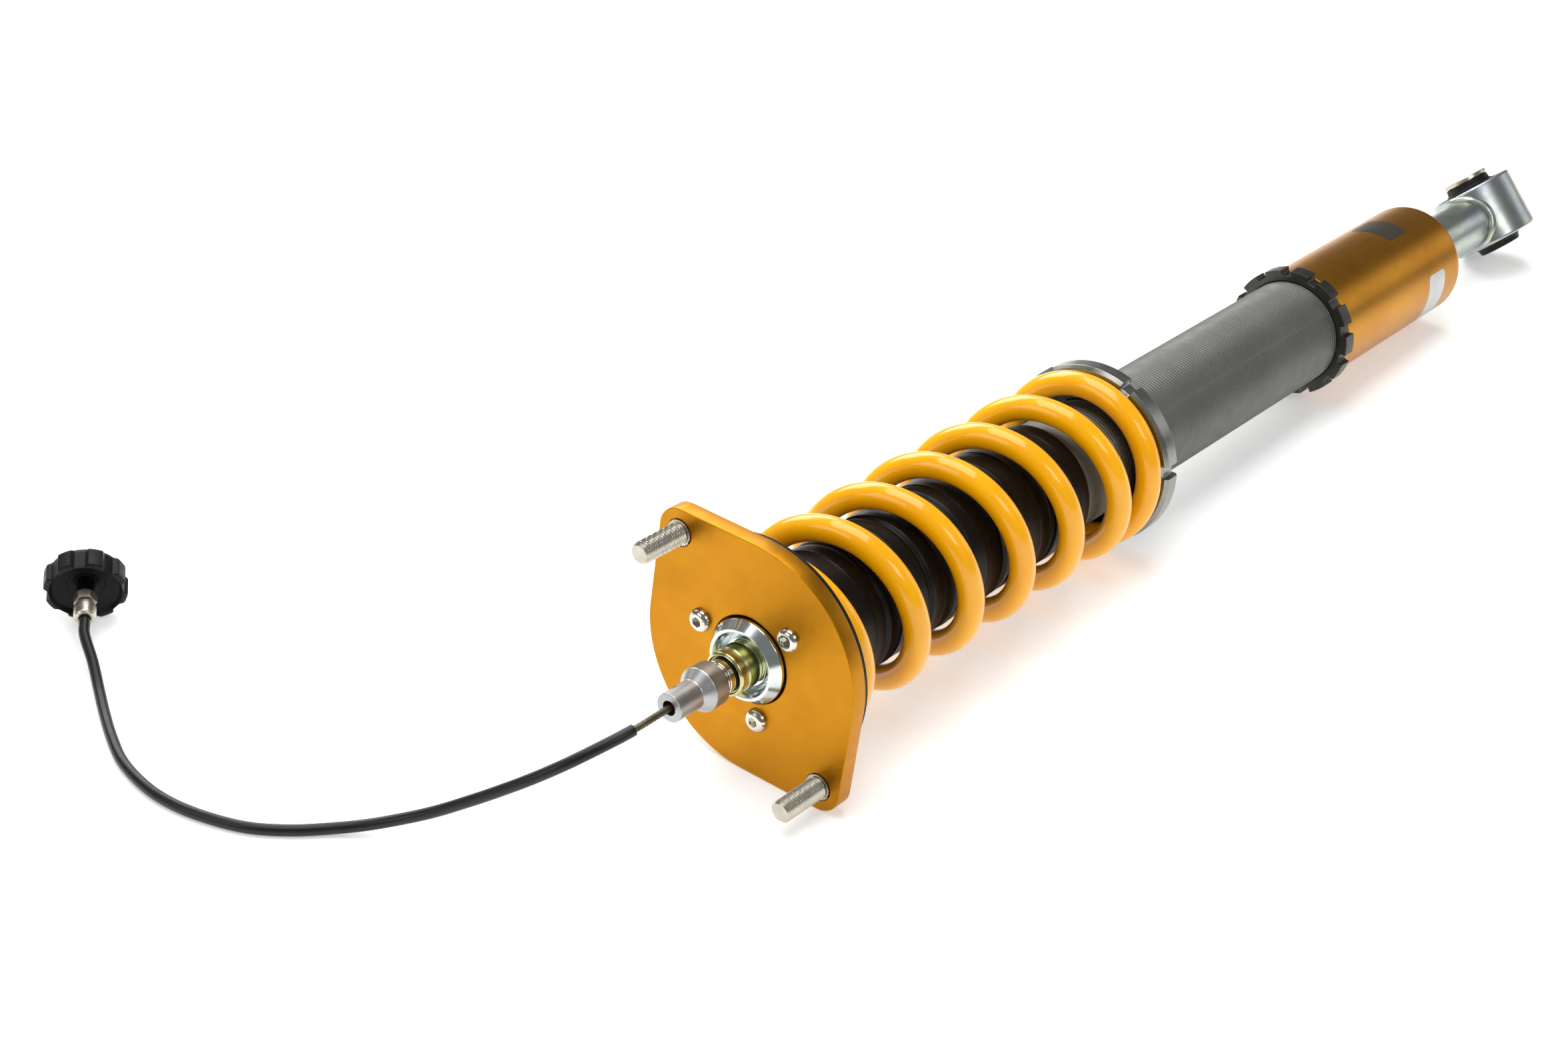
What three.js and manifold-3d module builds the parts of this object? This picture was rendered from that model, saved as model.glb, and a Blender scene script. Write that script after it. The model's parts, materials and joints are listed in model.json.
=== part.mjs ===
// A rear coilover damper lying on a bench, with its remote damping adjuster.
// Millimetres, +Z up. The damper is built along its own axis: +X runs from the
// front face of the top plate (x = 0) to the lower eye, and the plate's two
// studs stand on its Z axis. It is then rolled onto a flat edge of the plate
// and tipped until the eye touches the bench.

import * as THREE from 'three';
import { mergeVertices } from 'three/addons/utils/BufferGeometryUtils.js';
import Module from 'manifold-3d';

const wasm = await Module();
wasm.setup();

// ---------------------------------------------------------------- clearances
const GAP = 0.3;              // between faces that touch
const RUN = 0.35;             // around pieces that slide or turn

// ---------------------------------------------------------------- top mount
const PLATE_T = 8;            // plate thickness
const PLATE_R = 55;           // round body of the plate
const EAR_R = 11;             // rounded tip of each ear
const STUD_HALF = 60;         // stud to damper axis
const PLATE_HOLE_R = 20.1;    // opening around the spacer ring
const STUD_R = 5;             // M10
const STUD_LENGTH = 25;       // proud of the plate
const STUD_HEAD_R = 9;
const STUD_HEAD_T = 2;
const STUD_COLLAR_R = 5.9;
const STUD_COLLAR_T = 1.2;
const SCREW_COUNT = 3;
const SCREW_PCD_R = 27.7;
const SCREW_R = 3;            // M6 button head
const SCREW_HEAD_R = 5.4;
const SCREW_HEAD_H = 3.1;
const SCREW_LENGTH = 15;      // under the head
const SCREW_KEY_AF = 4;
const SCREW_PHASE = 31;       // degrees from the stud axis
const SEAT_R = 54.8;          // rubber spring seat
const SEAT_T = 2.2;
const HOUSING_R = 31.5;       // bearing housing, which also centres the spring
const HOUSING_LENGTH = 15;
const BALL_R = 15;
const BALL_WIDTH = 16;
const RACE_R = 23;
const RACE_WIDTH = 10;
const CLIP_WIDTH = 1.6;

// ---------------------------------------------------------------- rod
const ROD_R = 8;
const ROD_TOP_R = 6;          // threaded top of the rod
const ROD_BORE_R = 2.6;
const ROD_TOP_X = -22;
const ROD_END_X = 226;
const SPACER_BASE_R = 19.4;   // chamfered spacer ring
const SPACER_FACE_R = 16.2;
const SPACER_RECESS_R = 14.9;
const SPACER_TOP_X = -6;
const SPACER_FLOOR_X = -1.5;
const NUT_R = 10.1;           // round rod nut
const NUT_FRONT_X = -16.4;
const SEAL_RING_R = 8.7;
const SEAL_RING_T = 1.0;
const NECK_R = 7.8;
const NECK_GROOVE_R = 6.9;

// ---------------------------------------------------------------- adjuster
const ADAPTER_MOUTH_X = -50;
const ADAPTER_SMALL_R = 6.5;
const ADAPTER_LARGE_R = 9.9;
const ADAPTER_CONE_X = -36;   // small end of the cone
const ADAPTER_SHOULDER_X = -31.5;
const ADAPTER_BACK_X = -23.6;
const ADAPTER_BORE_R = 3.3;
const ADAPTER_BORE_DEPTH = 17;
const ADAPTER_SCREW_X = -43;
const SET_SCREW_R = 1.5;
const NEEDLE_R = 2.2;
const CORE_R = 1.5;
const SLEEVE_R = 2.5;
const SLEEVE_BORE_R = 2.05;

// ---------------------------------------------------------------- spring
const WIRE_R = 6;
const COIL_R = 38.5;          // middle of the wire
const PITCH = 39;
const ACTIVE_TURNS = 5.88;
const DEAD_TURNS = 0.686;     // closed turns at each end
const SPRING_PHASE = 135;     // degrees, where the active turns begin

// ---------------------------------------------------------------- damper
const TUBE_R = 28;
const TUBE_BORE_R = 23;
const TUBE_START_X = 150;
const TUBE_END_X = 535;
const GUIDE_LENGTH = 26;
const PISTON_X = 190;
const PISTON_T = 18;
const BAND_T = 8;
const FLOAT_X = 400;
const FLOAT_T = 18;
const PLUG_T = 12;
const BUMP_X = 44;
const BUMP_LENGTH = 34;
const BUMP_R = 20;
const BUMP_CUP_T = 5;
const BOOT_X = 24.5;
const BOOT_END_X = 210;
const BOOT_CLEARANCE = 0.7;   // boot to tube at the bottom of a fold
const BOOT_WALL = 1.1;
const BOOT_FOLD_D = 1.2;      // depth of a fold
const BOOT_FOLDS = 6;

// ---------------------------------------------------------------- perch and lock ring
const PERCH_R = 45;
const PERCH_LENGTH = 10;
const PERCH_NOTCHES = 6;
const PERCH_NOTCH_W = 6.5;
const PERCH_NOTCH_D = 3.2;
const PERCH_NOTCH_PHASE = 34; // degrees
const SLIP_R = 40.6;
const SLIP_T = 2;
const LOCK_R = 34;
const LOCK_X = 444;
const LOCK_LENGTH = 8;
const LOCK_NOTCHES = 13;
const LOCK_NOTCH_W = 6;
const LOCK_NOTCH_D = 3;
const LOCK_NOTCH_PHASE = 9;   // degrees

// ---------------------------------------------------------------- lower bracket and eye
const BRACKET_R = 30.8;
const BRACKET_END_X = 579;
const BRACKET_END_T = 8;
const BRACKET_EDGE = 3;
const STUB_R = 14.5;
const SPIGOT_R = 10;
const SPIGOT_NUT_AF = 30;
const SPIGOT_NUT_T = 8;
const EYE_X = 670;
const EYE_R = 23.7;
const EYE_HALF = 17;
const EYE_BORE_R = 20.5;
const WELD_R = 2.6;
const BUSH_LIP_R = 12.9;
const BUSH_HALF = 21.5;
const SLEEVE_END = 24;        // top face of the inner sleeve
const INNER_SLEEVE_R = 9;
const INNER_SLEEVE_FLANGE_R = 12.9;
const INNER_BORE_R = 6.1;     // for an M12 bolt

// ---------------------------------------------------------------- knob
const KNOB_PLACE = [-437, 289.8, 19.6];   // middle of the knob on the bench
const KNOB_HEADING = -131.3;  // degrees about Z that the hub points to
const KNOB_R = 18.5;
const KNOB_T = 12;
const KNOB_LOBES = 8;
const KNOB_NOTCH_D = 1.8;
const KNOB_NOTCH_W = 8.2;     // across a notch at the rim
const KNOB_NOTCH_FLOOR = 4.6; // across its flat floor
const KNOB_NOTCH_PHASE = 3;   // degrees
const KNOB_HOLLOW_R = 15.2;
const KNOB_HOLLOW_D = 7;
const KNOB_HUB_R = 4.2;
const KNOB_HUB_PROUD = 1.2;
const KNOB_NUT_AF = 9;
const KNOB_NUT_T = 5;
const FERRULE_R = 5;
const FERRULE_T = 9;
const FERRULE_POCKET = 5;
const KNOB_TILT = 15;         // degrees that the hub points down

const deg = THREE.MathUtils.degToRad;

// ---------------------------------------------------------------- finishes
const finish = (colour, roughness, metalness) =>
  new THREE.MeshStandardMaterial({ color: colour, roughness, metalness });

const GOLD = finish(0xc8871e, 0.42, 0.8);
const ZINC = finish(0xb9bcb6, 0.35, 0.9);
const YELLOW_ZINC = finish(0xb9ae72, 0.35, 0.9);
const NICKEL = finish(0xc9c6bd, 0.2, 1.0);
const STEEL = finish(0xa9a8a2, 0.4, 0.9);
const CHROME = finish(0xd5d7d8, 0.12, 1.0);
const YELLOW = finish(0xf5b008, 0.25, 0.0);
const RUBBER = finish(0x171816, 0.75, 0.0);
const BLACK_PLASTIC = finish(0x121311, 0.5, 0.0);
const GREY_ANODISED = finish(0x5d5e5a, 0.5, 0.6);
const DARK_ANODISED = finish(0x3c3d3a, 0.5, 0.6);
const BRONZE = finish(0x9a7b45, 0.45, 0.8);
const CORE_STEEL = finish(0x4a4436, 0.5, 0.7);

// ---------------------------------------------------------------- shape tools

/** A ring of numbers from 0 to n - 1. */
const count = (n) => Array.from({ length: n }, (_, i) => i);

/** A solid turned about the X axis from a profile of [x, radius] corners. */
function turned(profile, segments = 18) {
  let corners = profile.map(([x, r]) => new THREE.Vector2(r, x));
  const onAxis = corners[0].x === 0 && corners.at(-1).x === 0;
  if (THREE.ShapeUtils.area(corners) < 0) corners.reverse();
  if (!onAxis) corners = [...corners, corners[0].clone()];
  return new THREE.LatheGeometry(corners, segments).rotateZ(-Math.PI / 2);
}

/** A plain ring or disc from x0 to x1. */
function ring(x0, x1, outer, inner = 0, segments = 18) {
  return turned([[x0, inner], [x0, outer], [x1, outer], [x1, inner]], segments);
}

/** A prism of a closed outline in the Y-Z plane, from x0 to x1. */
function prism(shape, x0, x1, bevel = 0) {
  const options = {
    depth: x1 - x0 - 2 * bevel,
    bevelEnabled: bevel > 0,
    bevelThickness: bevel,
    bevelSize: bevel,
    bevelOffset: -bevel,
    bevelSegments: 1,
    curveSegments: 9,
  };
  const body = new THREE.ExtrudeGeometry(shape, options);
  body.translate(0, 0, bevel);
  // shape x -> world Y, shape y -> world Z, depth -> world X
  body.applyMatrix4(new THREE.Matrix4().set(0, 0, 1, x0, 1, 0, 0, 0, 0, 1, 0, 0, 0, 0, 0, 1));
  return body;
}

/** A regular polygon outline, `flat` across its flats. */
function polygon(sides, flat) {
  const r = flat / 2 / Math.cos(Math.PI / sides);
  return new THREE.Shape(count(sides).map((i) => {
    const a = (2 * Math.PI * (i + 0.5)) / sides;
    return new THREE.Vector2(r * Math.cos(a), r * Math.sin(a));
  }));
}

/** The library's solid for a geometry, with shared corners and no thin triangles. */
function solid(geometry) {
  const bare = geometry.clone();
  bare.deleteAttribute('normal');
  bare.deleteAttribute('uv');
  const merged = mergeVertices(bare, 1e-4);
  const index = merged.index.array;
  const kept = [];
  for (let i = 0; i < index.length; i += 3) {
    const [a, b, c] = [index[i], index[i + 1], index[i + 2]];
    if (a !== b && b !== c && c !== a) kept.push(a, b, c);
  }
  return new wasm.Manifold(new wasm.Mesh({
    numProp: 3,
    vertProperties: new Float32Array(merged.attributes.position.array),
    triVerts: new Uint32Array(kept),
  }));
}

/** The geometry of one of the library's solids. */
function geometryOf(body) {
  const mesh = body.getMesh();
  const geometry = new THREE.BufferGeometry();
  geometry.setAttribute('position', new THREE.BufferAttribute(new Float32Array(mesh.vertProperties), 3));
  geometry.setIndex(new THREE.BufferAttribute(new Uint32Array(mesh.triVerts), 1));
  geometry.computeVertexNormals();
  return geometry;
}

/** `body` with each of `tools` cut away. */
function cut(body, ...tools) {
  const rest = tools.reduce((left, tool) => left.subtract(solid(tool)), solid(body));
  return geometryOf(rest);
}

/** All of `pieces` joined into one. */
function join(...pieces) {
  const [first, ...others] = pieces.map(solid);
  return geometryOf(others.reduce((left, next) => left.add(next), first));
}

/** A round outline of straight sides, for a tube along a path. */
function roundSection(radius, sides, bore = 0) {
  const loop = (r) => count(sides).map((i) => {
    const a = (2 * Math.PI * i) / sides;
    return new THREE.Vector2(r * Math.cos(a), r * Math.sin(a));
  });
  const shape = new THREE.Shape(loop(radius));
  if (bore > 0) shape.holes.push(new THREE.Path(loop(bore).reverse()));
  return shape;
}

/** A tube of the given section along a curve. */
function tubeAlong(curve, section, steps) {
  return new THREE.ExtrudeGeometry(section, { steps, extrudePath: curve, bevelEnabled: false });
}

const damper = new THREE.Group();
const coilover = new THREE.Group();
coilover.name = 'coilover';

/** Adds a named mesh to a group. */
function add(name, geometry, material, group = damper) {
  const mesh = new THREE.Mesh(geometry, material);
  mesh.name = name;
  group.add(mesh);
}

// ---------------------------------------------------------------- top mount

/** The plate: a round body drawn out to an ear at each stud by straight tangents. */
function plateOutline() {
  const lean = Math.acos((PLATE_R - EAR_R) / STUD_HALF);   // tangent point, from the stud axis
  const top = Math.PI / 2;
  const shape = new THREE.Shape();
  shape.absarc(0, STUD_HALF, EAR_R, top - lean, top + lean, false);
  shape.absarc(0, 0, PLATE_R, top + lean, 3 * top - lean, false);
  shape.absarc(0, -STUD_HALF, EAR_R, 3 * top - lean, 3 * top + lean, false);
  shape.absarc(0, 0, PLATE_R, 3 * top + lean, 5 * top - lean, false);
  const hole = new THREE.Path();
  hole.absarc(0, 0, PLATE_HOLE_R, 0, 2 * Math.PI, true);
  shape.holes.push(hole);
  return shape;
}

const screwAngles = count(SCREW_COUNT).map((i) => deg(90 - SCREW_PHASE + (360 * i) / SCREW_COUNT));
const screwPlace = (angle) => [SCREW_PCD_R * Math.cos(angle), SCREW_PCD_R * Math.sin(angle)];
const signs = [1, -1];

function makeTopPlate() {
  const holes = signs.flatMap((side) => [
    ring(-1, PLATE_T + 1, STUD_R + GAP, 0, 16).translate(0, 0, side * STUD_HALF),
    ring(-1, STUD_COLLAR_T + GAP, STUD_COLLAR_R + GAP, 0, 16).translate(0, 0, side * STUD_HALF),
    ring(PLATE_T - STUD_HEAD_T - GAP, PLATE_T + 1, STUD_HEAD_R + GAP, 0, 16).translate(0, 0, side * STUD_HALF),
  ]);
  const clear = screwAngles.map((angle) =>
    ring(-1, PLATE_T + 1, SCREW_R + GAP, 0, 12).translate(0, ...screwPlace(angle)));
  add('top_plate', cut(prism(plateOutline(), 0, PLATE_T), ...holes, ...clear), GOLD);
}

function makeStuds() {
  signs.forEach((side, i) => {
    const profile = [
      [-STUD_LENGTH, 0], [-STUD_LENGTH, STUD_R - 1.6], [-STUD_LENGTH + 1.4, STUD_R],
      [-0.6, STUD_R], [-0.6, STUD_COLLAR_R], [STUD_COLLAR_T, STUD_COLLAR_R], [STUD_COLLAR_T, STUD_R],
      [PLATE_T - STUD_HEAD_T, STUD_R], [PLATE_T - STUD_HEAD_T, STUD_HEAD_R],
      [PLATE_T, STUD_HEAD_R], [PLATE_T, 0],
    ];
    add(`mount_stud_${i + 1}`, turned(profile, 16).translate(0, 0, side * STUD_HALF), NICKEL);
  });
}

function makePlateScrews() {
  const head = [
    [-SCREW_HEAD_H - GAP, 0], [-SCREW_HEAD_H - GAP, SCREW_HEAD_R * 0.5],
    [-SCREW_HEAD_H * 0.75 - GAP, SCREW_HEAD_R * 0.82],
    [-SCREW_HEAD_H * 0.3 - GAP, SCREW_HEAD_R], [-GAP, SCREW_HEAD_R], [-GAP, SCREW_R],
    [SCREW_LENGTH, SCREW_R], [SCREW_LENGTH, 0],
  ];
  const key = prism(polygon(6, SCREW_KEY_AF), -SCREW_HEAD_H - 1, -SCREW_HEAD_H * 0.35);
  const screw = cut(turned(head, 18), key);
  screwAngles.forEach((angle, i) =>
    add(`plate_screw_${i + 1}`, screw.clone().translate(0, ...screwPlace(angle)), NICKEL));
}

const seatX = PLATE_T + GAP;
const seatFace = seatX + SEAT_T;
const housingX = PLATE_T + GAP;
const raceX = housingX + 1;
const ballMiddle = raceX + RACE_WIDTH / 2;
const clipX = raceX + RACE_WIDTH + GAP;
const housingEnd = housingX + HOUSING_LENGTH;

function makeBearing() {
  // housing behind the plate, with a pocket for the race and a groove for its clip
  const lipR = RACE_R - 3;
  const pocket = RACE_R + GAP;
  const body = turned([
    [housingX, pocket], [housingX, HOUSING_R], [housingEnd, HOUSING_R], [housingEnd, pocket],
    [clipX + CLIP_WIDTH + GAP, pocket], [clipX + CLIP_WIDTH + GAP, pocket + 1.2], [clipX - GAP, pocket + 1.2],
    [clipX - GAP, pocket],
  ]);
  const threads = screwAngles.map((angle) =>
    ring(housingX - 1, SCREW_LENGTH + GAP, SCREW_R + GAP, 0, 12).translate(0, ...screwPlace(angle)));
  add('bearing_housing', cut(body, ...threads), STEEL);

  // outer race with a hollow round seat for the ball
  const seat = count(7).map((i) => {
    const x = raceX + (RACE_WIDTH * (6 - i)) / 6;
    return [x, Math.sqrt((BALL_R + RUN) ** 2 - (x - ballMiddle) ** 2)];
  });
  add('bearing_race', turned([[raceX, lipR + 3 - 1.5], [raceX + 1.5, RACE_R],
    [raceX + RACE_WIDTH, RACE_R], ...seat]), CHROME);

  // snap ring, open at one side
  const clip = ring(clipX, clipX + CLIP_WIDTH, pocket + 0.9, pocket - 2.2);
  const opening = new THREE.BoxGeometry(6, 10, 6);
  opening.translate(clipX, 0, pocket);
  add('bearing_clip', cut(clip, opening), STEEL);

  const arc = count(9).map((i) => {
    const x = ballMiddle - BALL_WIDTH / 2 + (BALL_WIDTH * i) / 8;
    return [x, Math.sqrt(BALL_R ** 2 - (x - ballMiddle) ** 2)];
  });
  const bore = ROD_TOP_R + GAP;
  add('bearing_ball', turned([[ballMiddle - BALL_WIDTH / 2, bore], ...arc, [ballMiddle + BALL_WIDTH / 2, bore]]),
    CHROME);
}

function makeUpperSeat() {
  add('upper_spring_seat', turned([
    [seatX, HOUSING_R + GAP], [seatX, SEAT_R - 0.6], [seatX + 0.6, SEAT_R],
    [seatFace, SEAT_R], [seatFace, HOUSING_R + GAP],
  ], 28), RUBBER);
}

// ---------------------------------------------------------------- rod

const ballFront = ballMiddle - BALL_WIDTH / 2;
const ballBack = ballMiddle + BALL_WIDTH / 2;
const nutBack = SPACER_FLOOR_X - GAP;

function makeRod() {
  add('piston_rod', turned([
    [ROD_TOP_X, ROD_BORE_R], [ROD_TOP_X, ROD_TOP_R], [ballBack + GAP, ROD_TOP_R], [ballBack + GAP, ROD_R],
    [PISTON_X - GAP, ROD_R], [PISTON_X - GAP, ROD_TOP_R], [ROD_END_X, ROD_TOP_R], [ROD_END_X, ROD_BORE_R],
  ], 16), CHROME);
  add('rod_spacer_ring', turned([
    [SPACER_FLOOR_X, ROD_TOP_R + GAP], [SPACER_FLOOR_X, SPACER_RECESS_R - 1.2],
    [SPACER_TOP_X, SPACER_RECESS_R], [SPACER_TOP_X, SPACER_FACE_R], [SPACER_TOP_X + 4.2, SPACER_BASE_R],
    [ballFront - GAP - 2.5, SPACER_BASE_R], [ballFront - GAP, 10], [ballFront - GAP, ROD_TOP_R + GAP],
  ], 24), ZINC);
  add('rod_nut', turned([
    [nutBack, ROD_TOP_R + GAP], [nutBack, NUT_R], [NUT_FRONT_X + 1.2, NUT_R], [NUT_FRONT_X, NUT_R - 1],
    [NUT_FRONT_X, SEAL_RING_R], [NUT_FRONT_X + 0.8, SEAL_RING_R - 0.4], [NUT_FRONT_X + 0.8, ROD_TOP_R + GAP],
  ], 20), YELLOW_ZINC);
  const sealBack = NUT_FRONT_X + 0.8 - GAP;
  add('adjuster_seal_ring', ring(sealBack - SEAL_RING_T, sealBack, NECK_R - 0.2, ROD_TOP_R + GAP, 16), RUBBER);
  const neckBack = sealBack - SEAL_RING_T - GAP;
  const neckFront = ADAPTER_BACK_X + GAP;
  add('adjuster_neck', turned([
    [neckFront, ROD_BORE_R + GAP], [neckFront, NECK_R], [neckFront + 1.6, NECK_R],
    [neckFront + 2.0, NECK_GROOVE_R], [neckFront + 2.8, NECK_GROOVE_R], [neckFront + 3.2, NECK_R],
    [neckBack, NECK_R], [neckBack, ROD_TOP_R + GAP], [ROD_TOP_X - GAP, ROD_TOP_R + GAP],
    [ROD_TOP_X - GAP, ROD_BORE_R + GAP],
  ], 20), ZINC);

  // piston, its wear band and its nut
  const bore = ROD_TOP_R + GAP;
  const pistonR = TUBE_BORE_R - RUN;
  const bandX = PISTON_X + (PISTON_T - BAND_T) / 2;
  const bandDepth = 1.6;
  add('piston', turned([
    [PISTON_X, bore], [PISTON_X, pistonR - 1.5], [PISTON_X + 1, pistonR - 0.4], [bandX - GAP, pistonR - 0.4],
    [bandX - GAP, pistonR - bandDepth - GAP], [bandX + BAND_T + GAP, pistonR - bandDepth - GAP],
    [bandX + BAND_T + GAP, pistonR - 0.4], [PISTON_X + PISTON_T - 1, pistonR - 0.4],
    [PISTON_X + PISTON_T, pistonR - 1.5], [PISTON_X + PISTON_T, bore],
  ]), STEEL);
  add('piston_band', ring(bandX, bandX + BAND_T, pistonR, pistonR - bandDepth), BRONZE);
  const nutX = PISTON_X + PISTON_T + GAP;
  const nut = cut(prism(polygon(6, 21), nutX, nutX + 10), ring(nutX - 1, nutX + 11, bore, 0, 16));
  add('piston_nut', nut, STEEL);
}

function makeBumpStop() {
  const bore = ROD_R + RUN;
  const cupX = BUMP_X - BUMP_CUP_T - GAP;
  add('bump_cup', turned([
    [cupX, bore], [cupX, BUMP_R + 2.5], [cupX + BUMP_CUP_T + 6, BUMP_R + 2.5], [cupX + BUMP_CUP_T + 6, BUMP_R + GAP],
    [cupX + BUMP_CUP_T, BUMP_R + GAP], [cupX + BUMP_CUP_T, bore],
  ], 18), BLACK_PLASTIC);
  const waist = BUMP_X + BUMP_LENGTH * 0.45;
  add('bump_stop', turned([
    [BUMP_X, bore], [BUMP_X, BUMP_R], [waist - 5, BUMP_R], [waist, BUMP_R - 4], [waist + 5, BUMP_R - 1],
    [BUMP_X + BUMP_LENGTH - 5, BUMP_R - 3], [BUMP_X + BUMP_LENGTH, BUMP_R - 8], [BUMP_X + BUMP_LENGTH, bore],
  ], 18), finish(0xd9cf9a, 0.7, 0));
}

function makeBoot() {
  // one wall of round folds, closed around the rod at its top end
  const top = BOOT_X + BOOT_WALL * 1.5;
  const fold = (BOOT_END_X - top) / BOOT_FOLDS;
  const crest = (i) => top + fold * i;
  const boot = TUBE_R + BOOT_CLEARANCE + BOOT_WALL + BOOT_FOLD_D;
  const outer = count(BOOT_FOLDS).flatMap((i) => [
    [crest(i) + fold * 0.3, boot], [crest(i + 1), boot - BOOT_FOLD_D],
  ]);
  const inner = outer.map(([x, r]) => [x, r - BOOT_WALL]).reverse();
  add('dust_boot', turned([
    [BOOT_X, ROD_R + 3], [BOOT_X, boot - 2], ...outer, ...inner, [top, ROD_R + 3],
  ], 24), RUBBER);
}

// ---------------------------------------------------------------- adjuster

function makeAdapter() {
  const mouth = ADAPTER_MOUTH_X;
  const boreEnd = mouth + ADAPTER_BORE_DEPTH;
  const body = turned([
    [mouth, ADAPTER_BORE_R], [mouth, ADAPTER_SMALL_R - 0.6], [mouth + 0.6, ADAPTER_SMALL_R],
    [ADAPTER_CONE_X, ADAPTER_SMALL_R], [ADAPTER_SHOULDER_X, ADAPTER_LARGE_R],
    [ADAPTER_BACK_X - 0.5, ADAPTER_LARGE_R], [ADAPTER_BACK_X, ADAPTER_LARGE_R - 0.5],
    [ADAPTER_BACK_X, NEEDLE_R + GAP], [boreEnd, NEEDLE_R + GAP], [boreEnd, ADAPTER_BORE_R],
  ]);
  const cross = new THREE.CylinderGeometry(SET_SCREW_R + GAP, SET_SCREW_R + GAP, ADAPTER_SMALL_R + 2, 12);
  cross.rotateX(Math.PI / 2).translate(ADAPTER_SCREW_X, 0, (ADAPTER_SMALL_R + 2) / 2 + 0.5);
  add('adjuster_adapter', cut(body, cross), STEEL);

  const screwLow = CORE_R + GAP;
  const screwHigh = ADAPTER_SMALL_R - 1.4;
  const screw = new THREE.CylinderGeometry(SET_SCREW_R, SET_SCREW_R, screwHigh - screwLow, 12);
  screw.rotateX(Math.PI / 2).translate(ADAPTER_SCREW_X, 0, (screwLow + screwHigh) / 2);
  add('adapter_set_screw', screw, DARK_ANODISED);

  const stemX = boreEnd + 0.5;
  const tipX = PISTON_X - 8;
  add('adjuster_needle', turned([
    [stemX, 0], [stemX, NEEDLE_R], [tipX - 9, NEEDLE_R], [tipX, 0.8], [tipX, 0],
  ], 12), STEEL);
}

// ---------------------------------------------------------------- spring

/** The middle line of the spring's wire. */
class SpringLine extends THREE.Curve {
  constructor(start) {
    super();
    this.start = start;
    this.turns = ACTIVE_TURNS + 2 * DEAD_TURNS;
  }

  getPoint(t) {
    const turn = t * this.turns - DEAD_TURNS;          // 0 where the active turns begin
    const active = Math.min(Math.max(turn, 0), ACTIVE_TURNS);
    const angle = deg(SPRING_PHASE) + 2 * Math.PI * turn;
    return new THREE.Vector3(this.start + PITCH * active, COIL_R * Math.cos(angle), COIL_R * Math.sin(angle));
  }
}

const springStart = seatFace + GAP + WIRE_R;
const springEnd = springStart + PITCH * ACTIVE_TURNS + WIRE_R;
const slipX = springEnd + GAP;
const slipBack = slipX + SLIP_T;
const perchX = slipX;

function makeSpring() {
  const line = new SpringLine(springStart);
  add('main_spring', tubeAlong(line, roundSection(WIRE_R, 8), 114), YELLOW);
}

// ---------------------------------------------------------------- damper tube and rings

function makeDamper() {
  add('damper_tube', turned([
    [TUBE_START_X, TUBE_BORE_R], [TUBE_START_X, TUBE_R - 1], [TUBE_START_X + 1, TUBE_R],
    [TUBE_END_X - 1, TUBE_R], [TUBE_END_X, TUBE_R - 1], [TUBE_END_X, TUBE_BORE_R],
  ], 24), GREY_ANODISED);

  const bore = ROD_R + RUN;
  const fit = TUBE_BORE_R - GAP;
  const guideX = TUBE_START_X + 4;
  const sealPocket = 4;
  add('rod_guide', turned([
    [guideX, bore + 3], [guideX, fit], [guideX + GUIDE_LENGTH, fit], [guideX + GUIDE_LENGTH, bore],
    [guideX + sealPocket + GAP, bore], [guideX + sealPocket + GAP, bore + 3],
  ]), STEEL);
  add('rod_seal', ring(guideX + 0.5, guideX + sealPocket, bore + 3 - GAP, bore, 16), RUBBER);
  add('rod_wiper', turned([
    [TUBE_START_X - 2, bore], [TUBE_START_X - 2, bore + 3], [guideX - GAP, fit - 1], [guideX - GAP, bore],
  ], 18), RUBBER);
  add('floating_piston', turned([
    [FLOAT_X, 0], [FLOAT_X, TUBE_BORE_R - RUN], [FLOAT_X + FLOAT_T, TUBE_BORE_R - RUN],
    [FLOAT_X + FLOAT_T, TUBE_BORE_R - 5], [FLOAT_X + 6, TUBE_BORE_R - 6], [FLOAT_X + 6, 0],
  ], 18), STEEL);
  add('gas_end_plug', ring(TUBE_END_X - PLUG_T - 2, TUBE_END_X - 2, fit, 0), STEEL);
}

/** Notches cut into the rim of a ring, square to its axis. */
function rimNotches(n, phase, width, depth, radius, x0, x1) {
  return count(n).map((i) => {
    const box = new THREE.BoxGeometry(x1 - x0 + 2, depth * 2, width);
    box.translate((x0 + x1) / 2, radius, 0);
    return box.rotateX(deg(phase + (360 * i) / n));
  });
}

function makePerch() {
  const bore = TUBE_R + RUN;
  const recess = SLIP_R + RUN;
  const perchEnd = perchX + PERCH_LENGTH;
  const edge = 1.5;
  const body = turned([
    [slipBack + GAP, bore], [slipBack + GAP, recess], [perchX, recess], [perchX, PERCH_R - edge],
    [perchX + edge, PERCH_R], [perchEnd - edge, PERCH_R], [perchEnd, PERCH_R - edge], [perchEnd, bore],
  ], 30);
  const notches = rimNotches(PERCH_NOTCHES, PERCH_NOTCH_PHASE, PERCH_NOTCH_W, PERCH_NOTCH_D, PERCH_R,
    perchX, perchEnd);
  add('spring_perch', cut(body, ...notches), GREY_ANODISED);
  add('perch_slip_ring', ring(slipX, slipBack, SLIP_R, bore, 24), BLACK_PLASTIC);
}

function makeLockRing() {
  const end = LOCK_X + LOCK_LENGTH;
  const body = turned([
    [LOCK_X, TUBE_R + RUN], [LOCK_X, LOCK_R], [end, LOCK_R], [end, TUBE_R + RUN],
  ], 26);
  const notches = rimNotches(LOCK_NOTCHES, LOCK_NOTCH_PHASE, LOCK_NOTCH_W, LOCK_NOTCH_D, LOCK_R, LOCK_X, end);
  add('lock_ring', cut(body, ...notches), DARK_ANODISED);
}

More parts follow.
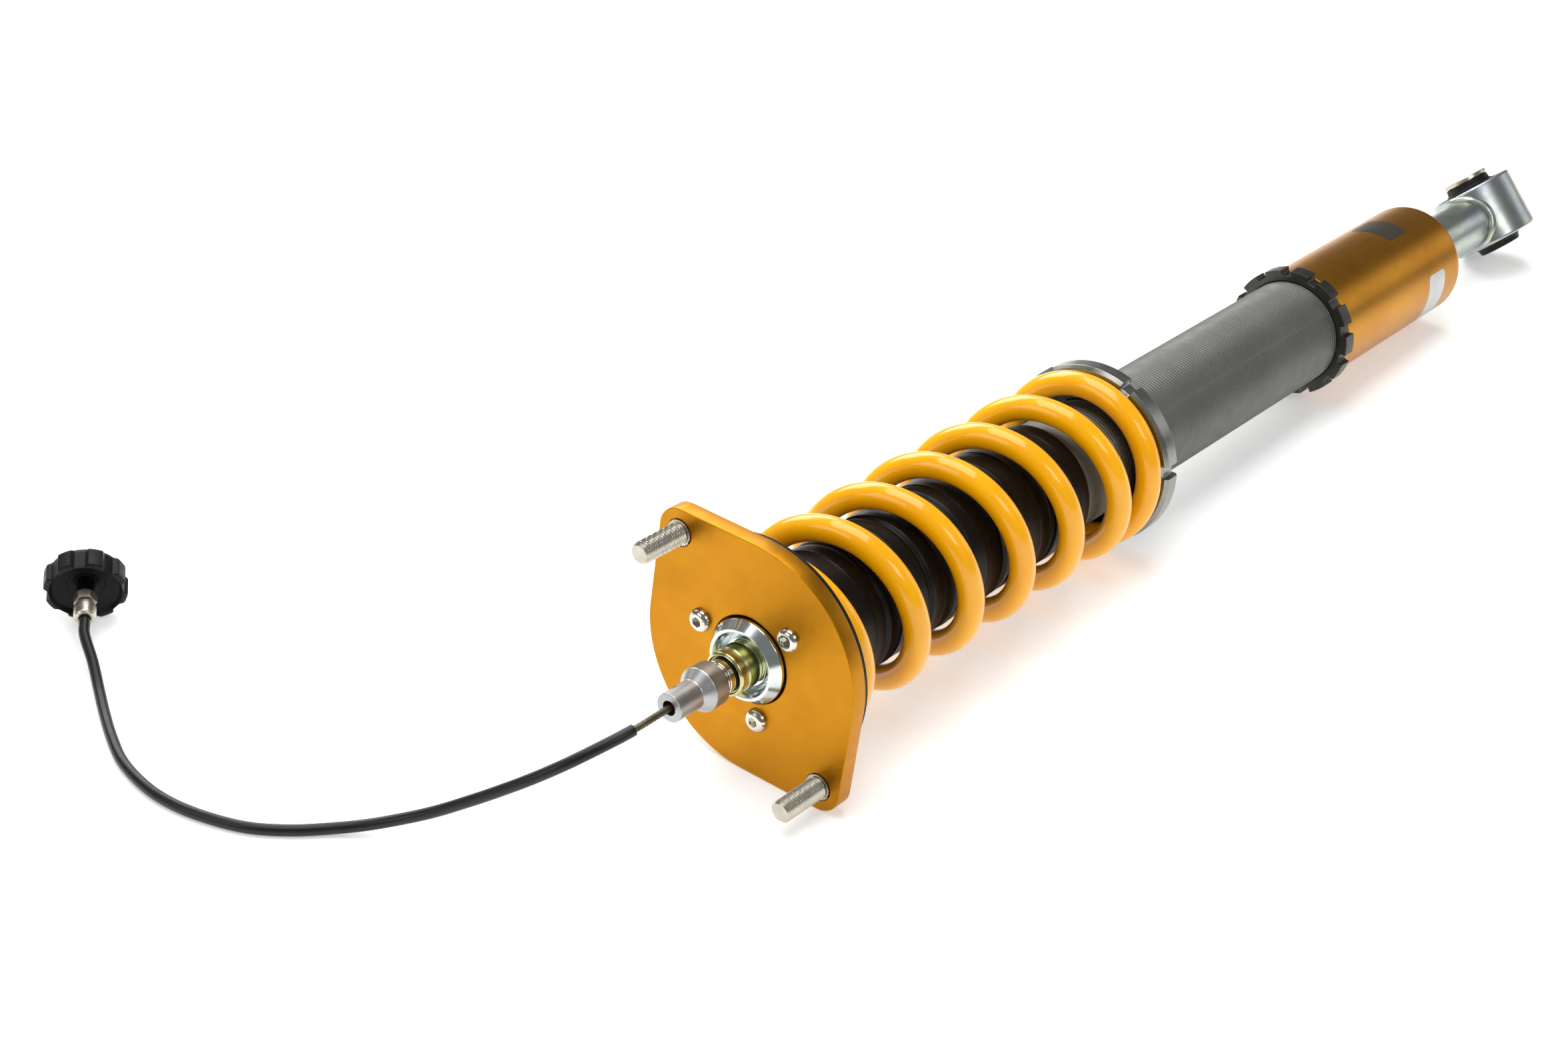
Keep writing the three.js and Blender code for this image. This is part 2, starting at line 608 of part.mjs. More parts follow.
// ---------------------------------------------------------------- lower bracket

const bracketX = LOCK_X + LOCK_LENGTH + GAP;
const wallX = BRACKET_END_X - BRACKET_END_T;
const spigotNutX = wallX - GAP - SPIGOT_NUT_T;

function makeLowerBracket() {
  const bore = TUBE_R + RUN;
  add('lower_bracket', turned([
    [bracketX, bore], [bracketX, BRACKET_R - 0.4], [bracketX + 0.4, BRACKET_R],
    [BRACKET_END_X - BRACKET_EDGE, BRACKET_R], [BRACKET_END_X - BRACKET_EDGE * 0.3, BRACKET_R - BRACKET_EDGE * 0.3],
    [BRACKET_END_X, BRACKET_R - BRACKET_EDGE], [BRACKET_END_X, SPIGOT_R + GAP], [wallX, SPIGOT_R + GAP],
    [wallX, bore],
  ], 28), GOLD);

  // stub, eye and weld bead, made as one weldment
  const stub = turned([
    [spigotNutX - 2, 0], [spigotNutX - 2, SPIGOT_R], [BRACKET_END_X + GAP, SPIGOT_R],
    [BRACKET_END_X + GAP, STUB_R], [EYE_X - 4, STUB_R], [EYE_X - 4, 0],
  ], 20);
  const eye = new THREE.CylinderGeometry(EYE_R, EYE_R, 2 * EYE_HALF, 28);
  eye.rotateX(Math.PI / 2).translate(EYE_X, 0, 0);
  const reach = Math.sqrt(EYE_R ** 2 - STUB_R ** 2);
  const bead = new THREE.TorusGeometry(STUB_R + 0.3, WELD_R, 6, 20);
  bead.rotateY(Math.PI / 2).translate(EYE_X - (EYE_R + reach) / 2 - 0.6, 0, 0);
  const hole = new THREE.CylinderGeometry(EYE_BORE_R, EYE_BORE_R, 2 * EYE_HALF + 2, 24);
  hole.rotateX(Math.PI / 2).translate(EYE_X, 0, 0);
  add('lower_eye', cut(join(stub, eye, bead), hole), ZINC);

  const nut = cut(prism(polygon(6, SPIGOT_NUT_AF), spigotNutX, spigotNutX + SPIGOT_NUT_T),
    ring(spigotNutX - 1, wallX, SPIGOT_R + GAP, 0, 16));
  add('eye_spigot_nut', nut, STEEL);
}

/** A solid turned about the eye's axis, which is Z, from [z, radius] corners. */
function turnedEye(profile, segments = 20) {
  return turned(profile, segments).rotateY(-Math.PI / 2).translate(EYE_X, 0, 0);
}

function makeBush() {
  const outer = EYE_BORE_R - GAP;
  const bore = INNER_SLEEVE_R + GAP;
  const bulge = EYE_HALF + 0.6;
  add('bush_rubber', turnedEye([
    [-BUSH_HALF, bore], [-BUSH_HALF, BUSH_LIP_R], [-bulge, BUSH_LIP_R], [-bulge, outer - 1.5],
    [-EYE_HALF + 0.4, outer], [EYE_HALF - 0.4, outer], [bulge, outer - 1.5], [bulge, BUSH_LIP_R],
    [BUSH_HALF, BUSH_LIP_R], [BUSH_HALF, bore],
  ]), RUBBER);
  add('bush_inner_sleeve', turnedEye([
    [-BUSH_HALF + 0.3, INNER_BORE_R], [-BUSH_HALF + 0.3, INNER_SLEEVE_R], [BUSH_HALF + GAP, INNER_SLEEVE_R],
    [BUSH_HALF + GAP, INNER_SLEEVE_FLANGE_R], [SLEEVE_END, INNER_SLEEVE_FLANGE_R], [SLEEVE_END, INNER_BORE_R],
  ]), STEEL);
}

// ---------------------------------------------------------------- remote adjuster cord

// Middle of the cord, on the bench, from inside the adapter to the knob's ferrule.
const CORD_ROUTE = [
  [-356.0, 0, 56.6], [-364.0, 0, 56.9], [-371.7, 0, 57.2], [-379.7, 0, 57.5], [-388, 0.2, 57.5],
  [-397.5, 1.8, 56.6], [-407, 5.6, 54], [-417.5, 12.6, 48.8], [-426, 22.6, 41.3], [-432.8, 34.8, 32.5],
  [-438.8, 47.8, 23.5], [-445, 61, 15], [-452.3, 73.8, 8.6], [-460.3, 84.5, 4.8], [-468.8, 94, 3.1],
  [-481.2, 106.5, 2.6], [-491.8, 121, 2.6], [-499, 140.3, 2.6], [-501.9, 156, 2.6], [-501.8, 171, 2.6],
  [-497.4, 191.7, 2.6], [-490, 208, 2.6], [-480.5, 225, 2.7], [-471.5, 240, 4], [-463.6, 253.4, 7.2],
  [-456.1, 268, 11.8], [-452.3, 272.4, 13.4], [-447.9, 277.4, 15.2], [-445.6, 280, 16.1],
];
const CORD_STEPS = 32;
const SLEEVE_FROM = 3;        // steps along the cord where the sleeve begins and ends
const SLEEVE_TO = 31.7;

/** A stretch of another curve, from one share of its length to another. */
class Stretch extends THREE.Curve {
  constructor(whole, from, to) {
    super();
    Object.assign(this, { whole, from, to });
  }

  getPoint(t) {
    return this.whole.getPointAt(this.from + (this.to - this.from) * t);
  }
}

function makeCord() {
  const points = CORD_ROUTE.map((p) => new THREE.Vector3(...p));
  const route = new THREE.CatmullRomCurve3(points, false, 'centripetal');
  route.arcLengthDivisions = 2000;
  add('cable_core', tubeAlong(route, roundSection(CORE_R, 8), CORD_STEPS), CORE_STEEL, coilover);
  const covered = new Stretch(route, SLEEVE_FROM / CORD_STEPS, SLEEVE_TO / CORD_STEPS);
  const steps = Math.round(SLEEVE_TO - SLEEVE_FROM);
  add('cable_sleeve', tubeAlong(covered, roundSection(SLEEVE_R, 8, SLEEVE_BORE_R), steps), RUBBER, coilover);
}

/** The knob's rim: round lobes parted by flat-floored notches with sloping sides. */
function knobOutline() {
  const floorR = KNOB_R - KNOB_NOTCH_D;
  const floor = KNOB_NOTCH_FLOOR / 2 / floorR;
  const side = KNOB_NOTCH_W / 2 / KNOB_R;
  const step = (2 * Math.PI) / KNOB_LOBES;
  const land = (step - 2 * side) / 3;
  return new THREE.Shape(count(KNOB_LOBES).flatMap((i) => {
    const middle = deg(KNOB_NOTCH_PHASE) + i * step;
    const corners = [
      [-side, KNOB_R], [-floor, floorR], [floor, floorR], [side, KNOB_R], [side + land, KNOB_R],
      [side + 2 * land, KNOB_R],
    ];
    return corners.map(([a, r]) => new THREE.Vector2(r * Math.cos(middle + a), r * Math.sin(middle + a)));
  }));
}

function makeKnob() {
  // made along X with the hub towards +X, then laid on its rim
  const knob = new THREE.Group();
  knob.rotation.set(0, deg(KNOB_TILT), deg(KNOB_HEADING), 'ZYX');
  knob.position.set(...KNOB_PLACE);
  coilover.add(knob);
  const back = KNOB_T / 2;
  const hubEnd = back + KNOB_HUB_PROUD;
  const coreHole = CORE_R + RUN;
  const body = prism(knobOutline(), -back, back);
  const hollow = ring(back - KNOB_HOLLOW_D, back + 1, KNOB_HOLLOW_R, KNOB_HUB_R, 24);
  const hub = ring(back - KNOB_HOLLOW_D - 1, hubEnd, KNOB_HUB_R, 0, 24);
  const rim = turned([[-back - 1, KNOB_R - 3], [-back - 1, KNOB_R + 2], [-back + 2, KNOB_R + 2]], 24);
  add('knob', geometryOf(solid(body).subtract(solid(hollow)).subtract(solid(rim)).add(solid(hub))),
    BLACK_PLASTIC, knob);
  const nutX = hubEnd + GAP;
  const nutEnd = nutX + KNOB_NUT_T;
  add('knob_hex_nut', prism(polygon(6, KNOB_NUT_AF), nutX, nutEnd), ZINC, knob);
  const ferruleX = nutEnd + GAP;
  const ferruleEnd = ferruleX + FERRULE_T;
  add('cable_ferrule', turned([
    [ferruleX, coreHole], [ferruleX, FERRULE_R], [ferruleEnd - 3, FERRULE_R], [ferruleEnd, FERRULE_R - 1],
    [ferruleEnd, SLEEVE_R + GAP], [ferruleEnd - FERRULE_POCKET, SLEEVE_R + GAP],
    [ferruleEnd - FERRULE_POCKET, coreHole],
  ], 18), ZINC, knob);
}

// ---------------------------------------------------------------- build

makeTopPlate();
makeStuds();
makePlateScrews();
makeUpperSeat();
makeBearing();
makeRod();
makeBumpStop();
makeBoot();
makeAdapter();
makeSpring();
makeDamper();
makePerch();
makeLockRing();
makeLowerBracket();
makeBush();
makeCord();
makeKnob();

// ---------------------------------------------------------------- resting place

const roll = -Math.acos((PLATE_R - EAR_R) / STUD_HALF);
const eyeDrop = EYE_R * Math.sin(-roll) + EYE_HALF * Math.cos(roll);
const tip = Math.atan((PLATE_R - eyeDrop) / (EYE_X - PLATE_T));

damper.rotation.set(roll, tip, 0, 'YXZ');
coilover.add(damper);
coilover.updateMatrixWorld(true);
const box = new THREE.Box3().setFromObject(damper, true);
const middle = box.getCenter(new THREE.Vector3());
damper.position.set(-middle.x, -middle.y, -box.min.z);

export default coilover;
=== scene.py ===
"""A coilover damper on a pale bench: fine surfaces and finishes built around the packed model.

Sizes are millimetres. A piece of the damper is drawn along the damper's own axis: x runs from the front
face of the top plate to the lower eye, z along the line of the two studs, and angles go from y towards z.
"""

import json
import math

import bpy
import numpy as np
from bpy.props import FloatProperty, FloatVectorProperty, IntProperty, PointerProperty
from mathutils import Euler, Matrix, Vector


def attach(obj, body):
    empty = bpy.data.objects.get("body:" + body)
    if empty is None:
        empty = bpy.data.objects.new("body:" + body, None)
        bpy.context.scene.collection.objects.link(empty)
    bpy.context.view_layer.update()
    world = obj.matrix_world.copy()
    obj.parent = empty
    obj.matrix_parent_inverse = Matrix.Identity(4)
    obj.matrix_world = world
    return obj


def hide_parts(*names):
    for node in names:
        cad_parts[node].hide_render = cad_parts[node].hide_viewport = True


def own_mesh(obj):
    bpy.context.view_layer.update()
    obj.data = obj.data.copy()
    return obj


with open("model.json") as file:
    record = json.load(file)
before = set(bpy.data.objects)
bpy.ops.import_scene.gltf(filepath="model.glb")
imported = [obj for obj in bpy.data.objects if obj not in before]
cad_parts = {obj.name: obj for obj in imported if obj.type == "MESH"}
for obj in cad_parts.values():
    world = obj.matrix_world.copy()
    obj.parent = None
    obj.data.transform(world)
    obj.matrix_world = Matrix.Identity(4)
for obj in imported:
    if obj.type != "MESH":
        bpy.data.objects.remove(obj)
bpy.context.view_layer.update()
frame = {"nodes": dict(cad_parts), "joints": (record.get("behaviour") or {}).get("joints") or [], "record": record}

bl_info = {
    "name": "Coilover damper",
    "version": (1, 0, 0),
    "blender": (4, 5, 0),
    "location": "3D View > Sidebar > Coilover",
    "description": "Builds the pieces and finishes of a coilover damper with a remote damping knob",
    "category": "Object",
}

MM = 0.001
TAU = 2 * math.pi


# ---------------------------------------------------------------- places

def unit(v):
    """Vectors along the last axis, each made one long."""
    v = np.asarray(v, float)
    return v / np.linalg.norm(v, axis=-1, keepdims=True)


JOINTS = {joint["name"]: joint for joint in frame["joints"]}
EYE_X = 670.0                      # middle of the lower eye along the damper
ALONG = -unit(JOINTS["stroke"]["axis"])
STUDS = unit(JOINTS["bush_twist"]["axis"])
DAMPER = (np.array(JOINTS["bush_twist"]["pos_m"]) - EYE_X * MM * ALONG,
          np.array([ALONG, np.cross(STUDS, ALONG), STUDS]))
HUB = unit(JOINTS["knob_turn"]["axis"])
KNOB_SIDE = unit(np.cross([0, 0, 1], HUB))
KNOB = (np.array(JOINTS["knob_turn"]["pos_m"]), np.array([HUB, KNOB_SIDE, np.cross(HUB, KNOB_SIDE)]))
BENCH = (np.zeros(3), np.eye(3))


def put(points, place):
    """Points in millimetres along a place's own three axes, as metres in the frame."""
    origin, axes = place
    return origin + np.asarray(points, float) * MM @ axes


# ---------------------------------------------------------------- surfaces

def skin(grid, run=None, loop=True):
    """Faces over a grid of points, rows by columns: each column closes on itself as a ring, and the rows
    close too when `loop` is set. A row drawn in to one point is a pole with triangles round it."""
    rows, columns = grid.shape[:2]
    index = np.arange(rows * columns).reshape(rows, columns)
    pole = np.ptp(grid, axis=1).max(axis=-1) < 1e-7
    index[pole] = index[pole][:, :1]
    here = index if loop else index[:-1]
    ahead = np.roll(index, -1, 0) if loop else index[1:]
    quads = np.stack([here, np.roll(here, -1, 1), np.roll(ahead, -1, 1), ahead], -1).reshape(-1, 4)
    start, end = quads[:, 0] == quads[:, 1], quads[:, 2] == quads[:, 3]
    whole = quads[~start & ~end]
    fans = np.vstack([quads[start & ~end][:, [0, 2, 3]], quads[end & ~start][:, [0, 1, 2]]])
    points = grid.reshape(-1, 3)
    run = np.zeros(len(points)) if run is None else np.broadcast_to(run[:, None], (rows, columns)).ravel()
    corners = np.vstack([whole[:, [0, 1, 2]], whole[:, [0, 2, 3]], fans])
    a, b, c = (points[corners[:, i]] for i in range(3))
    if np.einsum("ij,ij->i", a, np.cross(b, c)).sum() < 0:
        whole, fans = whole[:, ::-1], fans[:, ::-1]
    used = np.unique(np.concatenate([whole.ravel(), fans.ravel()]))
    rename = np.zeros(len(points), int)
    rename[used] = np.arange(len(used))
    return points[used], rename[whole], rename[fans], run[used]


def eased(corners, steps=4):
    """A closed outline with eased corners. Each corner is (x, r) or (x, r, ease): the outline leaves one side
    `ease` before the corner C and joins the next as far after it, on (1-t)^2 A + 2t(1-t) C + t^2 B, and one
    more point on each side keeps the flats flat."""
    points = np.array([corner[:2] for corner in corners], float)
    ease = np.array([corner[2] if len(corner) > 2 else 0.25 for corner in corners])[:, None]
    before, after = np.roll(points, 1, 0) - points, np.roll(points, -1, 0) - points
    back, on = (np.linalg.norm(v, axis=1, keepdims=True) for v in (before, after))
    a = before / back * np.minimum(ease, 0.4 * back)
    b = after / on * np.minimum(ease, 0.4 * on)
    t = np.linspace(0, 1, steps + 1)[None, :, None]
    bend = points[:, None] + (1 - t) ** 2 * a[:, None] + t ** 2 * b[:, None]
    rows = np.concatenate([(points + 1.2 * a)[:, None], bend, (points + 1.2 * b)[:, None]], 1).reshape(-1, 2)
    keep = np.linalg.norm(rows - np.roll(rows, 1, 0), axis=1) > 1e-6
    return rows[keep]


def travelled(rows):
    """Distance along a run of points up to each of them."""
    return np.concatenate([[0], np.cumsum(np.linalg.norm(np.diff(rows, axis=0), axis=1))])


def ring_angles(sides):
    return np.linspace(0, TAU, sides, endpoint=False)


def rings(x, radius, angles):
    """Rings about x as a grid of points (x, r cos a, r sin a)."""
    x, radius = np.broadcast_arrays(x, radius * np.ones_like(angles))
    return np.stack([x, radius * np.cos(angles), radius * np.sin(angles)], -1)


def circles(across, over, sides):
    """Circles one unit in radius and square to a path: N cos b + B sin b, with N `across` and B `over`."""
    b = ring_angles(sides)[:, None]
    return np.cos(b) * across[:, None] + np.sin(b) * over[:, None]


def six_sided(angles):
    """Radius of a hexagon whose corners are one unit out: cos 30 / cos a, a from the middle of a side."""
    return math.cos(math.pi / 6) / np.cos(angles % (math.pi / 3) - math.pi / 6)


def turned(corners, sides=96, swing=None, angles=None, steps=4):
    """A solid turned about x from a closed outline of (x, r, ease) corners: each outline point goes round
    as (x, r cos a, r sin a). `swing(x, r, a)` may change the radius with the angle."""
    rows = eased(corners, steps)
    a = ring_angles(sides) if angles is None else angles
    x, r = rows[:, :1], rows[:, 1:]
    radius = r * np.ones_like(a) if swing is None else swing(x, r, a)
    return skin(rings(x, radius, a), travelled(rows))


def moved(part, shift):
    points, *rest = part
    return (points + np.array(shift, float), *rest)


def about_eye(part):
    """A part turned about x, stood along the eye's own axis, which is z."""
    points, *rest = part
    return (np.stack([EYE_X + points[:, 1], points[:, 2], points[:, 0]], -1), *rest)


def piece(name, parts, material, body, nodes=(), sharp=38, place=DAMPER):
    """Puts parts into one mesh at their place in the frame, smooth except across edges over `sharp` degrees."""
    points, faces, runs, count = [], [], [], 0
    for part_points, quads, fans, run in parts:
        points.append(put(part_points, place))
        faces += (quads + count).tolist() + (fans + count).tolist()
        runs.append(run)
        count += len(part_points)
    mesh = bpy.data.meshes.new(name)
    mesh.from_pydata(np.vstack(points), [], faces)
    mesh.attributes.new("run", "FLOAT", "POINT").data.foreach_set("value", np.concatenate(runs).astype("f"))
    mesh.shade_smooth()
    mesh.set_sharp_from_angle(angle=math.radians(sharp))
    mesh.materials.append(material)
    thing = bpy.data.objects.new(name, mesh)
    bpy.context.scene.collection.objects.link(thing)
    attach(thing, body)
    if nodes:
        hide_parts(*nodes)
    return thing


def bored(thing, cutters, sharp=38):
    """Takes closed cutters out of a finished piece with an exact boolean, and keeps the result as its mesh."""
    tools = []
    for part_points, quads, fans, _run in cutters:
        mesh = bpy.data.meshes.new("cutter")
        mesh.from_pydata(put(part_points, DAMPER), [], quads.tolist() + fans.tolist())
        tool = bpy.data.objects.new("cutter", mesh)
        bpy.context.scene.collection.objects.link(tool)
        step = thing.modifiers.new("bore", "BOOLEAN")
        step.operation, step.solver, step.object = "DIFFERENCE", "EXACT", tool
        tools.append(tool)
    bpy.context.view_layer.update()
    solved = thing.evaluated_get(bpy.context.evaluated_depsgraph_get())
    cut = bpy.data.meshes.new_from_object(solved)
    thing.modifiers.clear()
    thing.data = cut
    cut.shade_smooth()
    cut.set_sharp_from_angle(angle=math.radians(sharp))
    for tool in tools:
        bpy.data.objects.remove(tool)
    if len(cut.polygons) == 0:
        raise RuntimeError(f"boring {thing.name} left nothing")


# ---------------------------------------------------------------- finishes

def linear(code):
    """Linear red, green, blue and one for alpha, from an sRGB hex colour."""
    srgb = [int(code[i:i + 2], 16) / 255 for i in (1, 3, 5)]
    return [v / 12.92 if v <= 0.04045 else ((v + 0.055) / 1.055) ** 2.4 for v in srgb] + [1.0]


def add(tree, kind, inputs=None, **settings):
    """Adds a node: settings are its own values, and inputs are numbers, colours or the outputs that feed them."""
    node = tree.nodes.new(kind)
    for name, value in settings.items():
        setattr(node, name, value)
    for socket, value in (inputs or {}).items():
        if isinstance(value, bpy.types.NodeSocket):
            tree.links.new(value, node.inputs[socket])
        else:
            node.inputs[socket].default_value = value
    return node


def coating(name, surface):
    """A material whose shader takes the inputs that surface(tree, mm) gives, where mm is the object's own
    coordinates in millimetres."""
    material = bpy.data.materials.new(name)
    material.use_nodes = True
    tree = material.node_tree
    tree.nodes.clear()
    where = add(tree, "ShaderNodeTexCoord").outputs["Object"]
    mm = add(tree, "ShaderNodeVectorMath", {0: where, "Scale": 1 / MM}, operation="SCALE").outputs[0]
    shader = add(tree, "ShaderNodeBsdfPrincipled", surface(tree, mm))
    add(tree, "ShaderNodeOutputMaterial", {"Surface": shader.outputs[0]})
    return material


def drift(tree, mm, size, low, high):
    """A colour that wanders between two hex colours in clouds about `size` millimetres across."""
    cloud = add(tree, "ShaderNodeTexNoise", {"Vector": mm, "Scale": 1 / size, "Detail": 3.0}).outputs[0]
    share = add(tree, "ShaderNodeMapRange", {"Value": cloud, "From Min": 0.3, "From Max": 0.7}).outputs[0]
    return add(tree, "ShaderNodeMix", {0: share, 6: linear(low), 7: linear(high)}, data_type="RGBA").outputs[2]


def smear(tree, mm, size, rough, uneven):
    """A roughness that wanders by `uneven` on both sides, as handling and wear leave it."""
    cloud = add(tree, "ShaderNodeTexNoise", {"Vector": mm, "Scale": 1 / size, "Detail": 4.0}).outputs[0]
    return add(tree, "ShaderNodeMapRange", {"Value": cloud, "From Min": 0.3, "From Max": 0.7,
                                            "To Min": rough - uneven, "To Max": rough + uneven}).outputs[0]


PITS_PER_MM = 2.2                  # blast pits are finer than this, and are drawn as coarse as shows


def metal(name, colour, rough, tint=None, tint_size=30.0, lines=0.0, line_width=0.25, grain=0.0, uneven=0.06,
          metallic=1.0):
    """A metal surface. `lines` is the depth of tool lines, which are noise of the distance along a turned
    outline, `grain` the depth of a blasted skin, and `tint` a second colour in patches."""
    def surface(tree, mm):
        inputs = {"Base Color": drift(tree, mm, tint_size, tint, colour) if tint else linear(colour),
                  "Metallic": metallic, "Roughness": smear(tree, mm, 6.0, rough, uneven)}
        if lines:
            run = add(tree, "ShaderNodeAttribute", attribute_name="run").outputs["Fac"]
            groove = add(tree, "ShaderNodeTexNoise", {"W": run, "Scale": 1 / line_width, "Detail": 3.0},
                         noise_dimensions="1D")
            inputs["Normal"] = add(tree, "ShaderNodeBump", {"Height": groove.outputs[0],
                                                            "Distance": lines * MM}).outputs[0]
        if grain:
            sand = add(tree, "ShaderNodeTexNoise", {"Vector": mm, "Scale": PITS_PER_MM})
            under = {"Normal": inputs["Normal"]} if lines else {}
            inputs["Normal"] = add(tree, "ShaderNodeBump", {"Height": sand.outputs[0], "Distance": grain * MM,
                                                            **under}).outputs[0]
        return inputs
    return coating(name, surface)


def plastic(name, colour, rough, shade, shade_size=8.0, grain_size=0.5, grain=0.02, specular=0.5):
    """A moulded or rubber surface with a grain `grain` millimetres deep."""
    def surface(tree, mm):
        fine = add(tree, "ShaderNodeTexNoise", {"Vector": mm, "Scale": 1 / grain_size}).outputs[0]
        return {
            "Base Color": drift(tree, mm, shade_size, shade, colour),
            "Roughness": smear(tree, mm, 4.0, rough, 0.05),
            "IOR": 1.5,
            "Specular IOR Level": specular,
            "Normal": add(tree, "ShaderNodeBump", {"Height": fine, "Distance": grain * MM}).outputs[0],
        }
    return coating(name, surface)


def blasted_gold_anodise():
    # machined aluminium plate, bead blasted and gold anodised: soft satin, with a faint drift in the dye
    return metal("blasted_gold_anodised_aluminium", "#C0831A", 0.4, "#B37713", 45.0, grain=0.01, uneven=0.05)


def turned_gold_anodise():
    # turned aluminium cup, gold anodised: hoops of fine tool lines draw the highlights into bands
    return metal("turned_gold_anodised_aluminium", "#C08419", 0.34, "#AF7410", 60.0, lines=0.003, uneven=0.03)


def rolled_zinc():
    # steel with bright zinc and clear passivate: a bluish and faintly green film over a cold grey
    return metal("zinc_plated_steel", "#A4AAB4", 0.33, "#B2BAA9", 12.0, uneven=0.05)


def clear_zinc():
    # turned steel ring, bright zinc: near mirror with a faint green and violet film
    return metal("bright_zinc_plated_steel", "#DDE0E2", 0.15, "#CBD8D2", 10.0, lines=0.0008, uneven=0.03)


def yellow_zinc():
    # turned steel collar with yellow passivate: straw, with greenish patches
    return metal("yellow_zinc_plated_steel", "#CDC48A", 0.2, "#B9BE8E", 5.0, lines=0.0012)


def nickel():
    # rolled steel stud, dull nickel plate: warm silver
    return metal("nickel_plated_steel", "#C6C1B4", 0.32, "#B7B1A1", 4.0)


def polished_stainless():
    # cold-headed and polished stainless steel: a mirror
    return metal("polished_stainless_steel", "#D2CDC2", 0.08, uneven=0.03)


def turned_stainless():
    # free-machining stainless steel, turned and lightly brushed: tool lines and a silky highlight
    return metal("turned_stainless_steel", "#B4B5B4", 0.38, "#A7A8A7", 8.0, lines=0.004, line_width=0.3)


def hard_anodise():
    # screw-cut aluminium tube, hard anodised: dark warm grey and dull
    return metal("hard_anodised_aluminium", "#6F706B", 0.5, "#656661", 40.0, metallic=0.6)


def turned_grey_anodise():
    # turned aluminium perch, light grey anodised: tool lines catch light on its chamfers
    return metal("turned_grey_anodised_aluminium", "#94958F", 0.28, "#888983", 12.0, lines=0.0006, line_width=0.35,
                 uneven=0.03)


def black_anodise():
    # milled steel ring, blackened: charcoal, drifting in random patches to a darker warm grey
    return metal("blackened_steel", "#4B4A46", 0.38, "#3C3B37", 9.0, lines=0.006, grain=0.006, metallic=0.85)


def chrome_steel():
    # ground and hard-chromed bar: mirror
    return metal("hard_chromed_steel", "#DCDEDF", 0.08, uneven=0.03)


def machined_steel():
    # milled and turned steel, oiled
    return metal("machined_steel", "#A5A49E", 0.34, "#98968E", 10.0, grain=0.01)


def bronze_band():
    # sintered bronze-filled wear band: dull brown gold
    return metal("sintered_bronze", "#9A7B45", 0.45, "#8A6C3A", 5.0, grain=0.015)


def wound_core():
    # wound steel drive core, browned and oily: dark olive
    return metal("wound_steel_core", "#6B6350", 0.4, "#524B3B", 3.0, metallic=0.8)


def silver_foil():
    # metallised polyester label, blank: flat silver with a fine tooth
    return metal("metallised_label_foil", "#C3C4C2", 0.38, "#B7B9B8", 10.0, grain=0.006, metallic=0.85)


def spring_enamel(colour):
    # sprung steel wire, powder coated: deep yellow under a clear gloss with a faint orange peel
    def surface(tree, mm):
        dimples_per_mm, clouds_per_mm = 0.38, 0.045
        peel = add(tree, "ShaderNodeTexNoise", {"Vector": mm, "Scale": dimples_per_mm}).outputs[0]
        cloud = add(tree, "ShaderNodeTexNoise", {"Vector": mm, "Scale": clouds_per_mm}).outputs[0]
        share = add(tree, "ShaderNodeMapRange", {"Value": cloud, "From Min": 0.3, "From Max": 0.7}).outputs[0]
        base = add(tree, "ShaderNodeMix", {0: share, 6: linear("#FAAE00"), 7: colour}, data_type="RGBA")
        return {
            "Base Color": base.outputs[2],
            "Roughness": 0.28,
            "IOR": 1.5,
            "Specular IOR Level": 0.2,
            "Coat Weight": 0.75,
            "Coat Roughness": 0.04,
            "Normal": add(tree, "ShaderNodeBump", {"Height": peel, "Distance": 0.03 * MM}).outputs[0],
        }
    return coating("powder_coated_spring_steel", surface)


def moulded_rubber():
    # natural rubber, moulded: near black with a dusty bloom
    return plastic("moulded_rubber", "#090A09", 0.5, "#0F100E", 5.0, 0.6, 0.03, specular=0.25)


def boot_rubber():
    # blow-moulded thermoplastic bellows: black with a waxy sheen
    return plastic("blow_moulded_bellows", "#030303", 0.4, "#050505", 14.0, 1.5, 0.02, specular=0.2)


def knob_nylon():
    # glass-filled nylon, moulded with a spark-eroded grain: soft black
    return plastic("moulded_nylon", "#040404", 0.45, "#070707", 6.0, 0.45, 0.02, specular=0.22)


def sleeve_vinyl():
    # extruded vinyl sheath: charcoal with a low gloss
    return plastic("extruded_vinyl", "#0F100E", 0.38, "#151613", 9.0, 0.8, 0.01, specular=0.35)


def perch_plastic():
    # machined acetal ring: black and smooth
    return plastic("machined_acetal", "#17140E", 0.45, "#1D1A13", 8.0, 0.5, 0.01)


def bump_foam():
    # cast microcellular foam: cream with open pores
    return plastic("microcellular_foam", "#D9CF9A", 0.8, "#CBBF86", 4.0, 0.7, 0.12, specular=0.2)


def label_ink():
    # blank printed film: dark brown-grey with a satin face
    return plastic("printed_label_film", "#2E2A22", 0.4, "#353128", 12.0, 0.6, 0.004)


def bench_paper():
    # seamless paper, lit from beneath: flat white with a faint even glow
    def surface(tree, mm):
        return {
            "Base Color": drift(tree, mm, 60.0, "#FCFCFB", "#FFFFFF"),
            "Roughness": 0.85,
            "Specular IOR Level": 0.2,
            "Emission Color": (1, 1, 1, 1),
            "Emission Strength": 0.35,
        }
    return coating("white_paper_sweep", surface)


FINISHES = {}


def finish(maker, *values):
    """The material of a maker, made once."""
    if maker.__name__ not in FINISHES:
        FINISHES[maker.__name__] = maker(*values)
    return FINISHES[maker.__name__]


